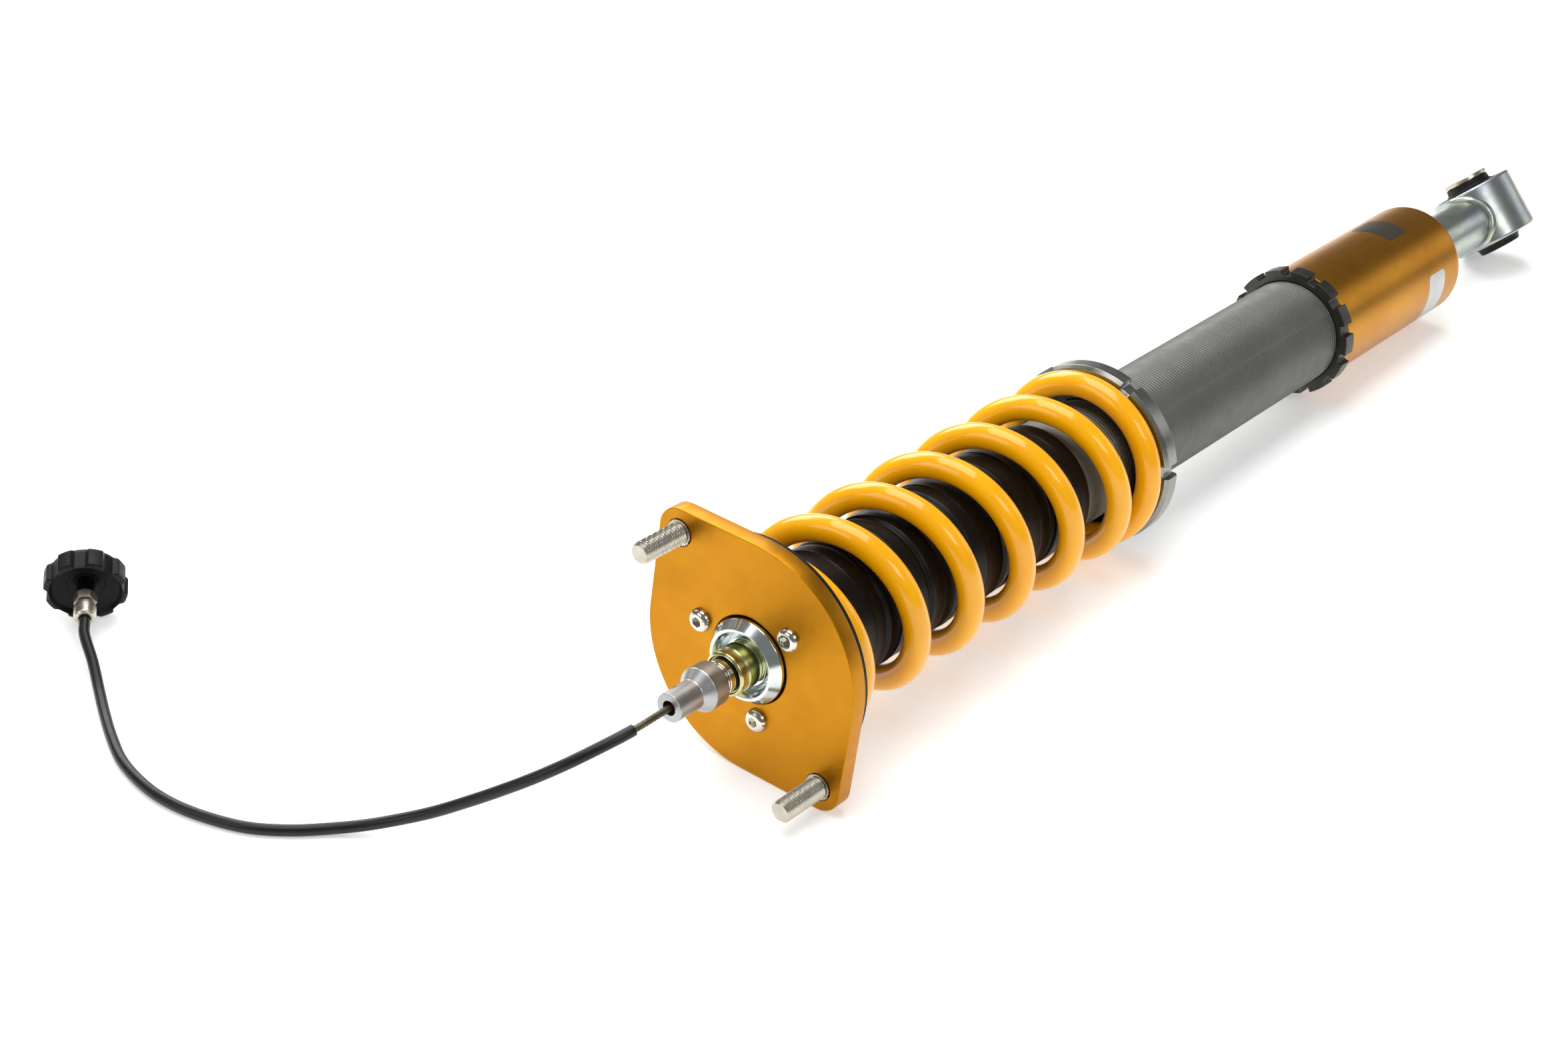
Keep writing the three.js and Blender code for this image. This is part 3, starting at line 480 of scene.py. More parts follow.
SLOT_FINISHES = {
    "gold_anodised": blasted_gold_anodise, "zinc_plate": rolled_zinc, "yellow_zinc": yellow_zinc,
    "nickel": nickel, "steel": machined_steel, "chrome": chrome_steel, "rubber": moulded_rubber,
    "black_plastic": perch_plastic, "grey_anodised": hard_anodise, "dark_anodised": black_anodise,
    "bronze": bronze_band, "foam": bump_foam, "cable_core": wound_core,
}


# ---------------------------------------------------------------- top mount

class PlateSizes(bpy.types.PropertyGroup):
    """Sizes of the top plate and its studs."""

    thickness: FloatProperty(name="Thickness", description="Thickness of the plate, mm", default=8.0, min=4)
    round_radius: FloatProperty(name="Round radius", description="Radius of the round body, mm", default=55.0)
    ear_radius: FloatProperty(name="Ear radius", description="Radius of each ear's tip, mm", default=11.0)
    stud_half: FloatProperty(name="Stud offset", description="Damper axis to a stud, mm", default=60.0)
    hole_radius: FloatProperty(name="Hole radius", description="Radius of the middle hole, mm", default=20.1)
    stud_length: FloatProperty(name="Stud length", description="Stud proud of the plate, mm", default=25.0)
    stud_pitch: FloatProperty(name="Stud pitch", description="Thread pitch of the studs, mm", default=1.5)


SCREW_CIRCLE = 27.7
SCREW_ANGLES = np.radians([59, 179, 299])


def plate_edge(angle, inset, sizes):
    """Radius of the plate's edge at each angle, drawn in by `inset`. Measured from the nearer stud it is the
    ear's circle, then the straight side that touches both circles, then the round body."""
    body, ear, half = sizes.round_radius - inset, sizes.ear_radius - inset, sizes.stud_half
    turn = np.arccos(np.abs(np.sin(angle)))
    lean = math.acos((body - ear) / half)
    ear_ends = math.atan2(ear * math.sin(lean), half + ear * math.cos(lean))
    on_ear = half * np.cos(turn) + np.sqrt(np.maximum(ear ** 2 - (half * np.sin(turn)) ** 2, 0))
    on_side = body / np.cos(lean - np.minimum(turn, lean))
    return np.where(turn < ear_ends, on_ear, np.where(turn < lean, on_side, body))


def plate_surface(sizes, edge=0.35):
    """The plate as one loop of rings: in the middle hole, over the front face, round the edge and back."""
    tips = np.linspace(-0.16, 0.16, 41)
    angles = np.unique(np.concatenate([ring_angles(288), math.pi / 2 + tips, 1.5 * math.pi + tips]))
    thick, hole = sizes.thickness, sizes.hole_radius
    bend = np.linspace(0, math.pi / 2, 5)
    rows = [(edge * (1 - math.sin(t)), plate_edge(angles, edge * (1 - math.cos(t)), sizes)) for t in bend[::-1]]
    rows = [(0.0, plate_edge(angles, 1.8 * edge, sizes))] + rows
    rows += [(thick - x, radius) for x, radius in rows[::-1]]
    inner = [(edge * (1 - math.sin(t)), (hole + edge * (1 - math.cos(t))) * np.ones_like(angles)) for t in bend]
    inner += [(0.0, (hole + 1.8 * edge) * np.ones_like(angles))]
    rows = rows + [(thick - x, radius) for x, radius in inner[::-1]] + inner
    grid = np.array([rings(x, radius, angles) for x, radius in rows])
    return skin(grid, travelled(grid[:, 0]))


def thread(x, angle, radius, pitch, depth):
    """Radius of a screw thread: it falls by `depth` between crests, which climb one pitch in each turn."""
    share = x / pitch - angle / TAU
    return radius - depth * np.abs(2 * (share - np.floor(share)) - 1) ** 0.9


def stud_surface(side, sizes):
    """A threaded stud with a chamfered tip and a toothed collar pressed into the plate."""
    angles = ring_angles(112)
    tip = -sizes.stud_length
    x = np.linspace(tip, -0.7, 170)[:, None]
    tip_radius, bevel, radius, depth, count, tooth = 3.9, 1.15, 5.0, 0.75, 28, 0.45
    shank = np.minimum(thread(x, angles, radius, sizes.stud_pitch, depth), tip_radius + (x - tip) * bevel)
    teeth = tooth * (np.abs((angles * count / TAU) % 1 * 2 - 1) > 0.5)
    collar_x = np.array([-0.7, -0.75, -0.6, 1.4, 1.4])[:, None]
    collar = np.array([5.2, 5.5, 6.1, 6.1, 0.0])[:, None] - np.array([0, 0, 1, 1, 0])[:, None] * teeth
    rows_x = np.vstack([[[tip]], [[tip]], x, collar_x])
    radii = np.vstack([0 * angles, 3.6 + 0 * angles, shank, collar])
    grid = rings(rows_x, radii, angles)
    part = skin(grid, travelled(grid[:, 0]), loop=False)
    return moved(part, (0, 0, side * sizes.stud_half))


def screw_surface(angle):
    """A button-head screw: domed head and a six-sided socket, whose wall is at s cos 30 / cos a from its middle."""
    socket, top, head = 2.31, 2.75, 5.4
    angles = ring_angles(96)
    six = six_sided(angles)
    rows = [(-1.2, 0.0, 0), (-1.2, socket * 0.9, 1), (-1.2, socket, 1), (-2.95, socket, 1),
            (-3.08, socket + 0.12, 1), (-3.1, top, 0)]
    dome = np.linspace(0.1, 1, 12) * math.pi / 2
    rows += [(-3.1 + 2.8 * (1 - math.cos(t)), top + (head - top) * math.sin(t), 0) for t in dome]
    rows += [(0.3, head - 0.1, 0), (0.3, 0.0, 0)]
    radii = np.array([r * (six if flat else np.ones_like(angles)) for _x, r, flat in rows])
    x = np.array([row[0] for row in rows])[:, None]
    place = (0, SCREW_CIRCLE * math.cos(angle), SCREW_CIRCLE * math.sin(angle))
    return moved(skin(rings(x, radii, angles), loop=False), place)


class COILOVER_OT_top_mount(bpy.types.Operator):
    """Makes the top plate with its studs and screws, the spring seat and the bearing housing."""

    bl_idname = "coilover.top_mount"
    bl_label = "Top mount"

    def execute(self, context):
        sizes = context.scene.coilover_plate
        plate = piece("top_mount_plate", [plate_surface(sizes)], finish(blasted_gold_anodise),
                      "top_mount", ["top_plate"])
        recess = turned([(-1, 0, 0), (-1, 6.5, 0), (1.2, 6.5, 0), (1.2, 0, 0)], 48)
        cutters = [moved(recess, (0, 0, side * sizes.stud_half)) for side in (1, -1)]
        bored(plate, cutters)
        for number, side in ((1, 1), (2, -1)):
            piece(f"threaded_stud_{number}", [stud_surface(side, sizes)], finish(nickel), "top_mount",
                  [f"mount_stud_{number}"], sharp=50)
        for number, angle in enumerate(SCREW_ANGLES, 1):
            piece(f"button_screw_{number}", [screw_surface(angle)], finish(polished_stainless), "top_mount",
                  [f"plate_screw_{number}"])
        back = sizes.thickness
        seat = turned([(back + 0.3, 31.8), (back + 0.3, 54.2, 0.4), (back + 2.5, 54.2, 0.4), (back + 2.5, 31.8)],
                      160)
        piece("rubber_spring_seat", [seat], finish(moulded_rubber), "top_mount", ["upper_spring_seat"])
        housing = turned([(back + 0.3, 23.4), (back + 0.3, 31.5, 0.5), (23.3, 31.5, 1.2), (23.3, 24.6, 0.6),
                          (20.6, 23.4, 0.3)], 120)
        piece("swivel_bearing_housing", [housing], finish(black_anodise), "top_mount", ["bearing_housing"])
        return {"FINISHED"}


class COILOVER_OT_rod_end(bpy.types.Operator):
    """Makes the spacer ring, the round nut and the grooved neck at the end of the rod."""

    bl_idname = "coilover.rod_end"
    bl_label = "Rod end"

    def execute(self, context):
        spacer = turned([(-1.0, 6.4, 0.1), (-1.0, 8.8, 0.2), (-2.2, 9.2, 0.2), (-2.2, 10.9, 0.2), (2.2, 11.0, 0.2),
                         (2.2, 12.9, 0.2), (-3.0, 13.2, 0.3), (-6.0, 14.9, 0.3), (-6.0, 16.2, 0.25),
                         (-1.8, 19.4, 0.35), (3.2, 19.4, 0.4), (5.6, 10.0, 0.3), (5.6, 6.4, 0.1)], 144)
        piece("chamfered_spacer_ring", [spacer], finish(clear_zinc), "piston_rod", ["rod_spacer_ring"])
        nut = turned([(-1.9, 6.4, 0.1), (-1.9, 9.2, 0.5), (-4.4, 9.2, 0.2), (-4.8, 10.1, 0.3),
                      (-10.6, 10.1, 0.3), (-11.0, 9.6, 0.2), (-12.2, 9.6, 0.2), (-12.6, 10.1, 0.3),
                      (-15.4, 10.1, 0.5), (-16.3, 9.2, 0.3), (-16.3, 8.7, 0.2), (-15.6, 8.3, 0.1),
                      (-15.6, 6.4, 0.1)], 120)
        piece("round_rod_nut", [nut], finish(yellow_zinc), "piston_rod", ["rod_nut"])
        seal = turned([(-15.9, 6.4, 0.1), (-15.9, 7.9, 0.3), (-16.9, 7.9, 0.3), (-16.9, 6.4, 0.1)], 72)
        piece("neck_seal_ring", [seal], finish(moulded_rubber), "piston_rod", ["adjuster_seal_ring"])
        neck = turned([(-23.3, 2.9, 0.1), (-23.3, 7.8, 0.35), (-21.6, 7.8, 0.3), (-21.2, 6.9, 0.2),
                       (-20.5, 6.9, 0.2), (-20.1, 7.8, 0.3), (-17.2, 7.8, 0.3), (-17.2, 6.3, 0.1),
                       (-22.3, 6.3, 0.1), (-22.3, 2.9, 0.1)])
        piece("grooved_neck", [neck], finish(clear_zinc), "piston_rod", ["adjuster_neck"])
        return {"FINISHED"}


class COILOVER_OT_adapter(bpy.types.Operator):
    """Makes the turned adapter that joins the flexible core to the adjuster."""

    bl_idname = "coilover.adapter"
    bl_label = "Adapter"

    def execute(self, context):
        body = turned([(-50.0, 3.3, 0.15), (-50.0, 6.5, 0.5), (-36.0, 6.5, 0.3), (-31.5, 9.9, 0.35),
                       (-23.6, 9.9, 0.5), (-23.6, 2.5, 0.1), (-33.0, 2.5, 0.1), (-33.0, 3.3, 0.1)], 128)
        adapter = piece("turned_adapter", [body], finish(turned_stainless), "adjuster_adapter",
                        ["adjuster_adapter"])
        hole, deep, hole_x = 1.8, 9, -43
        points, *rest = turned([(0, 0, 0), (0, hole, 0), (deep, hole, 0), (deep, 0, 0)], 40)
        cross_hole = (np.stack([points[:, 1] + hole_x, points[:, 2], points[:, 0] + 0.5], -1), *rest)
        bored(adapter, [cross_hole])
        return {"FINISHED"}


# ---------------------------------------------------------------- spring and boot

class SpringSizes(bpy.types.PropertyGroup):
    """Sizes of the main spring."""

    wire_radius: FloatProperty(name="Wire radius", description="Radius of the spring's wire, mm", default=6.0)
    coil_radius: FloatProperty(name="Coil radius", description="Axis to the middle of the wire, mm", default=38.5)
    pitch: FloatProperty(name="Pitch", description="Climb of one active turn, mm", default=39.0)
    active: FloatProperty(name="Active turns", description="Turns that climb", default=5.88)
    closed: FloatProperty(name="Closed turns", description="Flat turns at each end", default=0.686)
    phase: FloatProperty(name="Phase", description="Angle where the climb begins, degrees", default=135.0)
    paint: FloatVectorProperty(name="Paint", description="Colour of the powder coat", subtype="COLOR", size=4,
                               default=linear("#FFB800"))


SPRING_START = 16.8                # middle of the wire in the first closed turn
PERCH_X = 252.42


class COILOVER_OT_spring(bpy.types.Operator):
    """Makes the coil spring: the wire's middle climbs one pitch a turn between two flat closed turns."""

    bl_idname = "coilover.spring"
    bl_label = "Main spring"

    def execute(self, context):
        s = context.scene.coilover_spring
        turn = np.linspace(-s.closed, s.active + s.closed, 620)
        ease = 0.06
        climb = np.clip(turn, 0, s.active)
        climb += ease * np.exp(-np.abs(turn) / ease) / 2 - ease * np.exp(-np.abs(turn - s.active) / ease) / 2
        angle = math.radians(s.phase) + TAU * turn
        path = np.stack([SPRING_START + s.pitch * climb, s.coil_radius * np.cos(angle),
                         s.coil_radius * np.sin(angle)], -1)
        outward = np.stack([0 * angle, np.cos(angle), np.sin(angle)], -1)
        over = unit(np.cross(unit(np.gradient(path, axis=0)), outward))
        grid = path[:, None] + s.wire_radius * circles(outward, over, 40)
        rims = [np.array([path[end] + share * (grid[end] - path[end]) for share in (0.0, 0.95)]) for end in (0, -1)]
        grid = np.concatenate([rims[0], grid, rims[1][::-1]])
        coil = piece("coil_spring", [skin(grid, travelled(grid[:, 0]), loop=False)],
                     finish(spring_enamel, s.paint), "spring_seat_ring", ["main_spring"])
        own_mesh(coil)
        return {"FINISHED"}


class COILOVER_OT_boot(bpy.types.Operator):
    """Makes the bellows boot: a wall whose folds pinch in by exp(-(d / w)^2) at a distance d from each joint."""

    bl_idname = "coilover.boot"
    bl_label = "Dust boot"

    def execute(self, context):
        start, end, folds, radius = 24.6, 210.0, 6, 31.0
        wall, pinch, pinch_width, rib_height, rib_at, rib_width, neck = 2.5, 1.5, 1.3, 0.25, 9.5, 0.8, 11.0
        x = np.linspace(start + 1.5, end, 420)
        length = (end - start) / folds
        share = ((x - start) / length) % 1
        far = np.minimum(share, 1 - share) * length
        rib = np.exp(-((far - rib_at) / rib_width) ** 2)
        outer = radius - rib_height - pinch * np.exp(-(far / pinch_width) ** 2) + rib_height * rib
        outer[-1] = radius - 1.7
        inner = np.full_like(outer, radius - wall)
        rows = np.concatenate([[[start, neck], [start, radius - 3.2], [start + 0.5, radius - 2.0]],
                               np.stack([x, outer], -1), np.stack([x, inner], -1)[::-12], [[start + 1.5, neck]]])
        grid = rings(rows[:, :1], rows[:, 1:], ring_angles(120))
        boot = piece("bellows_boot", [skin(grid, travelled(rows))], finish(boot_rubber), "piston_rod",
                     ["dust_boot"])
        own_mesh(boot)
        return {"FINISHED"}


# ---------------------------------------------------------------- tube and rings

class TubeSizes(bpy.types.PropertyGroup):
    """Sizes of the threaded tube and of the two rings on it."""

    radius: FloatProperty(name="Tube radius", description="Outer radius of the tube, mm", default=28.0)
    pitch: FloatProperty(name="Thread pitch", description="Pitch of the tube's thread, mm", default=2.0)
    depth: FloatProperty(name="Thread depth", description="Depth of the tube's thread, mm", default=0.55)
    perch_notches: IntProperty(name="Perch notches", description="Notches in the spring perch", default=6)
    lock_notches: IntProperty(name="Lock ring notches", description="Notches in the lock ring", default=13)


def notched_angles(count, phase, width, radius, between):
    """Angles round a notched rim, close together at the walls of each notch and `between` on each land."""
    half = width / 2 / radius
    across = np.sin(np.linspace(-1, 1, 25) * math.pi / 2) * half
    step = TAU / count
    land = np.linspace(half, step - half, between + 2)[1:-1]
    one = np.concatenate([across, land])
    return (phase + (np.arange(count)[:, None] * step + one[None])).ravel()


def notch_depth(angles, count, phase, width, depth, radius):
    """Depth cut into the rim at each angle: depth (1 - (2d / w)^10)^(1/4), d from the middle of a notch."""
    step = TAU / count
    away = np.abs((angles - phase + step / 2) % step - step / 2) * radius
    return depth * np.maximum(1 - (2 * away / width) ** 10, 0) ** 0.25


def notched_ring(corners, count, phase, width, depth, rim, between):
    """A turned ring whose outermost rows carry the notches."""
    angles = notched_angles(count, phase, width, rim, between)
    cut = notch_depth(angles, count, phase, width, depth, rim)

    def notched(x, r, a):
        return np.where(r > rim - 2.4, r - cut, r * np.ones_like(a))

    return turned(corners, angles=angles, swing=notched)


class COILOVER_OT_tube(bpy.types.Operator):
    """Makes the threaded tube: plain under the boot and in the bracket, and screw-cut in between."""

    bl_idname = "coilover.tube"
    bl_label = "Threaded tube"

    def execute(self, context):
        s = context.scene.coilover_tube
        angles = ring_angles(88)
        cut_from, cut_to, top, foot, bore, lip = 204.0, 480.0, 150.0, 535.0, 23, 27
        x = np.arange(cut_from, cut_to, s.pitch / 5)[:, None]
        threads = thread(x, angles, s.radius, s.pitch, s.depth)
        plain = np.ones_like(angles)
        rows_x = np.vstack([[[top]], [[top]], [[top + 1]], [[cut_from - 0.4]], x, [[cut_to]], [[foot - 1]],
                            [[foot]], [[foot]]])
        low = s.radius - s.depth
        radii = np.vstack([bore * plain, lip * plain, low * plain, low * plain, threads, low * plain, low * plain,
                           lip * plain, bore * plain])
        grid = rings(rows_x, radii, angles)
        piece("screw_cut_tube", [skin(grid, travelled(grid[:, 0]))], finish(hard_anodise), "damper_body",
              ["damper_tube"], sharp=60)
        return {"FINISHED"}


class COILOVER_OT_perch(bpy.types.Operator):
    """Makes the notched spring perch and the slip ring let into it."""

    bl_idname = "coilover.perch"
    bl_label = "Spring perch"

    def execute(self, context):
        s = context.scene.coilover_tube
        front, rim, bevel, bore = PERCH_X, 45.0, 1.6, s.radius + 0.1
        body = notched_ring([(front + 2.4, bore), (front + 2.4, 40.9, 0.2), (front, 40.9, 0.3),
                             (front, rim - bevel, 0.2), (front + bevel, rim, 0.2), (front + 8.4, rim, 0.2),
                             (front + 10, rim - bevel, 0.2), (front + 10, bore, 0.4)],
                            s.perch_notches, math.radians(34), width=6.5, depth=3.2, rim=rim, between=40)
        piece("notched_spring_perch", [body], finish(turned_grey_anodise), "spring_perch", ["spring_perch"])
        slip = turned([(front, bore + 0.3), (front, 40.6, 0.3), (front + 2.0, 40.6, 0.3),
                       (front + 2.0, bore + 0.3)], 144)
        piece("acetal_slip_ring", [slip], finish(perch_plastic), "spring_seat_ring", ["perch_slip_ring"])
        return {"FINISHED"}


class COILOVER_OT_lock_ring(bpy.types.Operator):
    """Makes the notched lock ring that jams against the bracket."""

    bl_idname = "coilover.lock_ring"
    bl_label = "Lock ring"

    def execute(self, context):
        s = context.scene.coilover_tube
        bore, rim = s.radius + 0.1, 34.0
        body = notched_ring([(444, bore, 0.5), (444, rim, 0.35), (452, rim, 0.35), (452, bore, 0.5)],
                            s.lock_notches, math.radians(9), width=6.0, depth=3.0, rim=rim, between=16)
        piece("notched_lock_ring", [body], finish(black_anodise), "lock_ring", ["lock_ring"])
        return {"FINISHED"}


# ---------------------------------------------------------------- bracket and eye

BRACKET_R = 30.8


def label_surface(x0, x1, from_deg, to_deg, lift=0.07, round_off=2.0):
    """A thin label bent round the bracket: a rounded rectangle, |u|^n + |v|^n = 1, wrapped at the bracket's
    radius, with a face `lift` above it and its underside just inside."""
    a = ring_angles(96)
    middle_x, half_x = (x0 + x1) / 2, (x1 - x0) / 2
    middle_a, half_a = math.radians((from_deg + to_deg) / 2), math.radians(to_deg - from_deg) / 2
    power = round_off * 5
    squared = (np.abs(np.cos(a)) ** power + np.abs(np.sin(a)) ** power) ** (-1 / power)
    shares = np.concatenate([[0.0], np.linspace(0.1, 1, 12)])
    layers = [(share, BRACKET_R + lift) for share in shares] + [(share, BRACKET_R - 0.1) for share in shares[::-1]]
    rows = []
    for share, radius in layers:
        x = middle_x + half_x * share * squared * np.cos(a)
        angle = middle_a + half_a * share * squared * np.sin(a)
        rows.append(rings(x, radius, angle))
    return skin(np.array(rows), loop=False)


class COILOVER_OT_bracket(bpy.types.Operator):
    """Makes the gold lower bracket with its two blank labels."""

    bl_idname = "coilover.bracket"
    bl_label = "Lower bracket"

    def execute(self, context):
        body = turned([(452.3, 28.2, 0.3), (452.3, BRACKET_R, 0.5), (579, BRACKET_R, 3.2), (579, 10.3, 0.5),
                       (571, 10.3, 0.3), (571, 28.2, 0.3)], 192, steps=8)
        piece("turned_lower_bracket", [body], finish(turned_gold_anodise), "lower_bracket",
              ["lower_bracket"])
        piece("silver_label", [label_surface(542.5, 560.5, 203, 262)], finish(silver_foil), "lower_bracket")
        piece("dark_label", [label_surface(528, 548, 104, 150)], finish(label_ink), "lower_bracket")
        return {"FINISHED"}


def weld_bead(stub_r, eye_r):
    """A bead round the joint of stub and eye: its middle runs where the two cylinders meet, at
    x = eye - sqrt(R^2 - y^2), and its girth ripples as the weld pool froze."""
    a = ring_angles(260)
    stub = stub_r + 0.2
    y, z = stub * np.cos(a), stub * np.sin(a)
    path = np.stack([EYE_X - np.sqrt(eye_r ** 2 - y ** 2) - 0.2, y, z], -1)
    outward = np.stack([0 * a, np.cos(a), np.sin(a)], -1)
    over = unit(np.cross(unit(np.roll(path, -1, 0) - np.roll(path, 1, 0)), outward))
    girth, lump, lumps, sway = 2.6, 0.14, 9, 0.25
    ripple = girth + lump * np.sin(a * lumps + 0.5 * np.sin(3 * a)) + sway * np.sin(2 * a + 1)
    return skin(path[:, None] + ripple[:, None, None] * circles(outward, over, 24), travelled(path))


class COILOVER_OT_lower_eye(bpy.types.Operator):
    """Makes the welded eye, its bonded bush and the bush's inner sleeve."""

    bl_idname = "coilover.lower_eye"
    bl_label = "Lower eye"

    def execute(self, context):
        stub_r, eye_r, half, bore = 14.5, 23.7, 17.0, 20.5
        stub = turned([(561, 0, 0), (561, 10, 0.6), (579.3, 10, 0.1), (579.3, stub_r, 0.8), (655, stub_r, 0.1),
                       (655, 0, 0)], 96)
        eye = about_eye(turned([(-half, bore, 0.4), (-half, eye_r, 1.5), (half, eye_r, 1.5), (half, bore, 0.4)],
                               160))
        piece("welded_lower_eye", [stub, eye, weld_bead(stub_r, eye_r)], finish(rolled_zinc),
              "lower_bracket", ["lower_eye"])
        lip, reach = 12.9, 21.5
        rubber = about_eye(turned([(-reach, 9.2, 0.2), (-reach, lip - 1.2, 0.8), (-half - 0.8, lip, 1.2),
                                   (-half + 0.4, bore - 3.4, 0.8), (-half + 3.2, bore - 0.2, 0.5),
                                   (half - 3.2, bore - 0.2, 0.5), (half - 0.4, bore - 3.4, 0.8),
                                   (half + 0.8, lip, 1.2), (reach, lip - 0.4, 0.8), (reach, 9.2, 0.2)], 120))
        piece("bonded_rubber_bush", [rubber], finish(moulded_rubber), "lower_bracket", ["bush_rubber"])
        sleeve = about_eye(turned([(-21.2, 6.1, 0.4), (-21.2, 9.0, 0.4), (21.8, 9.0, 0.1), (21.8, lip, 0.3),
                                   (24.0, lip, 0.4), (24.0, 6.1, 0.5)], 96))
        piece("bush_bolt_sleeve", [sleeve], finish(nickel), "bush_sleeve", ["bush_inner_sleeve"])
        return {"FINISHED"}


# ---------------------------------------------------------------- flexible cord and knob

# Middle of the cord on the bench, from inside the adapter to the knob's ferrule, in metres.
CORD_ROUTE = np.array([
    (-0.3560, 0, 0.0566), (-0.3640, 0, 0.0569), (-0.3717, 0, 0.0572), (-0.3797, 0, 0.0575), (-0.388, 0.0002, 0.0575),
    (-0.3975, 0.0018, 0.0566), (-0.4070, 0.0056, 0.0540), (-0.4175, 0.0126, 0.0488), (-0.4260, 0.0226, 0.0413),
    (-0.4328, 0.0348, 0.0325), (-0.4388, 0.0478, 0.0235), (-0.4450, 0.0610, 0.0150), (-0.4523, 0.0738, 0.0086),
    (-0.4603, 0.0845, 0.0048), (-0.4688, 0.0940, 0.0031), (-0.4812, 0.1065, 0.0026), (-0.4918, 0.1210, 0.0026),
    (-0.4990, 0.1403, 0.0026), (-0.5019, 0.1560, 0.0026), (-0.5018, 0.1710, 0.0026), (-0.4974, 0.1917, 0.0026),
    (-0.4900, 0.2080, 0.0026), (-0.4805, 0.2250, 0.0027), (-0.4715, 0.2400, 0.0040), (-0.4636, 0.2534, 0.0072),
    (-0.4561, 0.2680, 0.0118), (-0.4523, 0.2724, 0.0134), (-0.4479, 0.2774, 0.0152), (-0.4456, 0.2800, 0.0161),
])
SLEEVE_FROM, SLEEVE_TO = 3 / 32, 31.7 / 32   # shares of the route that the sleeve covers


class CordSizes(bpy.types.PropertyGroup):
    """Sizes of the flexible cord and its knob."""

    core: FloatProperty(name="Core", description="Radius of the flexible core, mm", default=1.5)
    sleeve: FloatProperty(name="Sleeve", description="Outer radius of the sleeve, mm", default=2.5)
    knob: FloatProperty(name="Knob", description="Radius of the knob, mm", default=18.5)
    lobes: IntProperty(name="Lobes", description="Finger lobes round the knob", default=8)


def smooth_route(points, per_span=24):
    """A centripetal Catmull-Rom curve: on each span a cubic whose end slopes weigh the chords by the square
    root of their lengths."""
    p = np.vstack([2 * points[0] - points[1], points, 2 * points[-1] - points[-2]])
    gap = np.sqrt(np.linalg.norm(np.diff(p, axis=0), axis=1))[:, None]
    p0, p1, p2, p3 = p[:-3], p[1:-2], p[2:-1], p[3:]
    d0, d1, d2 = gap[:-2], gap[1:-1], gap[2:]
    m1 = ((p1 - p0) / d0 - (p2 - p0) / (d0 + d1) + (p2 - p1) / d1) * d1
    m2 = ((p2 - p1) / d1 - (p3 - p1) / (d1 + d2) + (p3 - p2) / d2) * d1
    t = np.linspace(0, 1, per_span, endpoint=False)[None, :, None]
    span = ((2 * t ** 3 - 3 * t ** 2 + 1) * p1[:, None] + (t ** 3 - 2 * t ** 2 + t) * m1[:, None]
            + (3 * t ** 2 - 2 * t ** 3) * p2[:, None] + (t ** 3 - t ** 2) * m2[:, None])
    return np.vstack([span.reshape(-1, 3), points[-1]])


def stretch(route, start, end, count):
    """Evenly spaced points on a route, from one share of its length to another, in millimetres."""
    length = travelled(route)
    at = np.linspace(start, end, count) * length[-1]
    return np.stack([np.interp(at, length, route[:, i]) for i in range(3)], -1) / MM


def beside(path):
    """Two directions square to a path: level, and the one over it."""
    ahead = unit(np.gradient(path, axis=0))
    level = unit(np.cross(ahead, [0, 0, 1]))
    return level, np.cross(level, ahead)


def knob_rim(angles, radius, lobes, depth=1.8, width=8.2, floor=4.6):
    """Radius of the knob's rim: round lands parted by notches with a flat floor and straight sloping sides."""
    step = TAU / lobes
    away = np.abs((angles - math.radians(3) + step / 2) % step - step / 2)
    corner, edge = floor / 2 / (radius - depth), width / 2 / radius
    flat = (radius - depth) * math.cos(corner) / np.cos(np.minimum(away, corner))
    slope = radius - depth * (edge - away) / (edge - corner)
    return np.where(away < corner, flat, np.minimum(slope, radius))


class COILOVER_OT_cord(bpy.types.Operator):
    """Lays the flexible cord: a wound core in a plain sleeve, from the adapter to the knob's ferrule."""

    bl_idname = "coilover.cord"
    bl_label = "Flexible cord"

    def execute(self, context):
        s = context.scene.coilover_cord
        route = smooth_route(CORD_ROUTE)
        path = stretch(route, 0, 1, 420)
        level, over = beside(path)
        a = ring_angles(28)
        strands, twist, relief = 3, 4.0, 0.06
        core_rows = s.core * (1 + relief * np.cos(strands * a[None] - travelled(path)[:, None] * twist))
        core_grid = path[:, None] + core_rows[..., None] * circles(level, over, 28)
        ends = [path[end] + 0 * core_grid[:1] for end in (0, -1)]
        core_grid = np.concatenate([ends[0], core_grid, ends[1]])
        core = piece("wound_core", [skin(core_grid, loop=False)], finish(wound_core), "piston_rod",
                     ["cable_core"], place=BENCH)
        path = stretch(route, SLEEVE_FROM, SLEEVE_TO, 380)
        level, over = beside(path)
        circle, bore = circles(level, over, 36), 1.8
        outer, inner = path[:, None] + s.sleeve * circle, (path[:, None] + bore * circle)[::-1]
        rims = [path[end] + (s.sleeve - 0.25) * circle[end] for end in (0, -1)]
        grid = np.concatenate([rims[0][None], outer, rims[1][None], inner])
        run = np.concatenate([[0], travelled(path), [0], travelled(path)[::-1]])
        sleeve = piece("vinyl_sleeve", [skin(grid, run)], finish(sleeve_vinyl), "piston_rod", ["cable_sleeve"],
                       place=BENCH)
        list(make_knob(s))
        return {"FINISHED"}


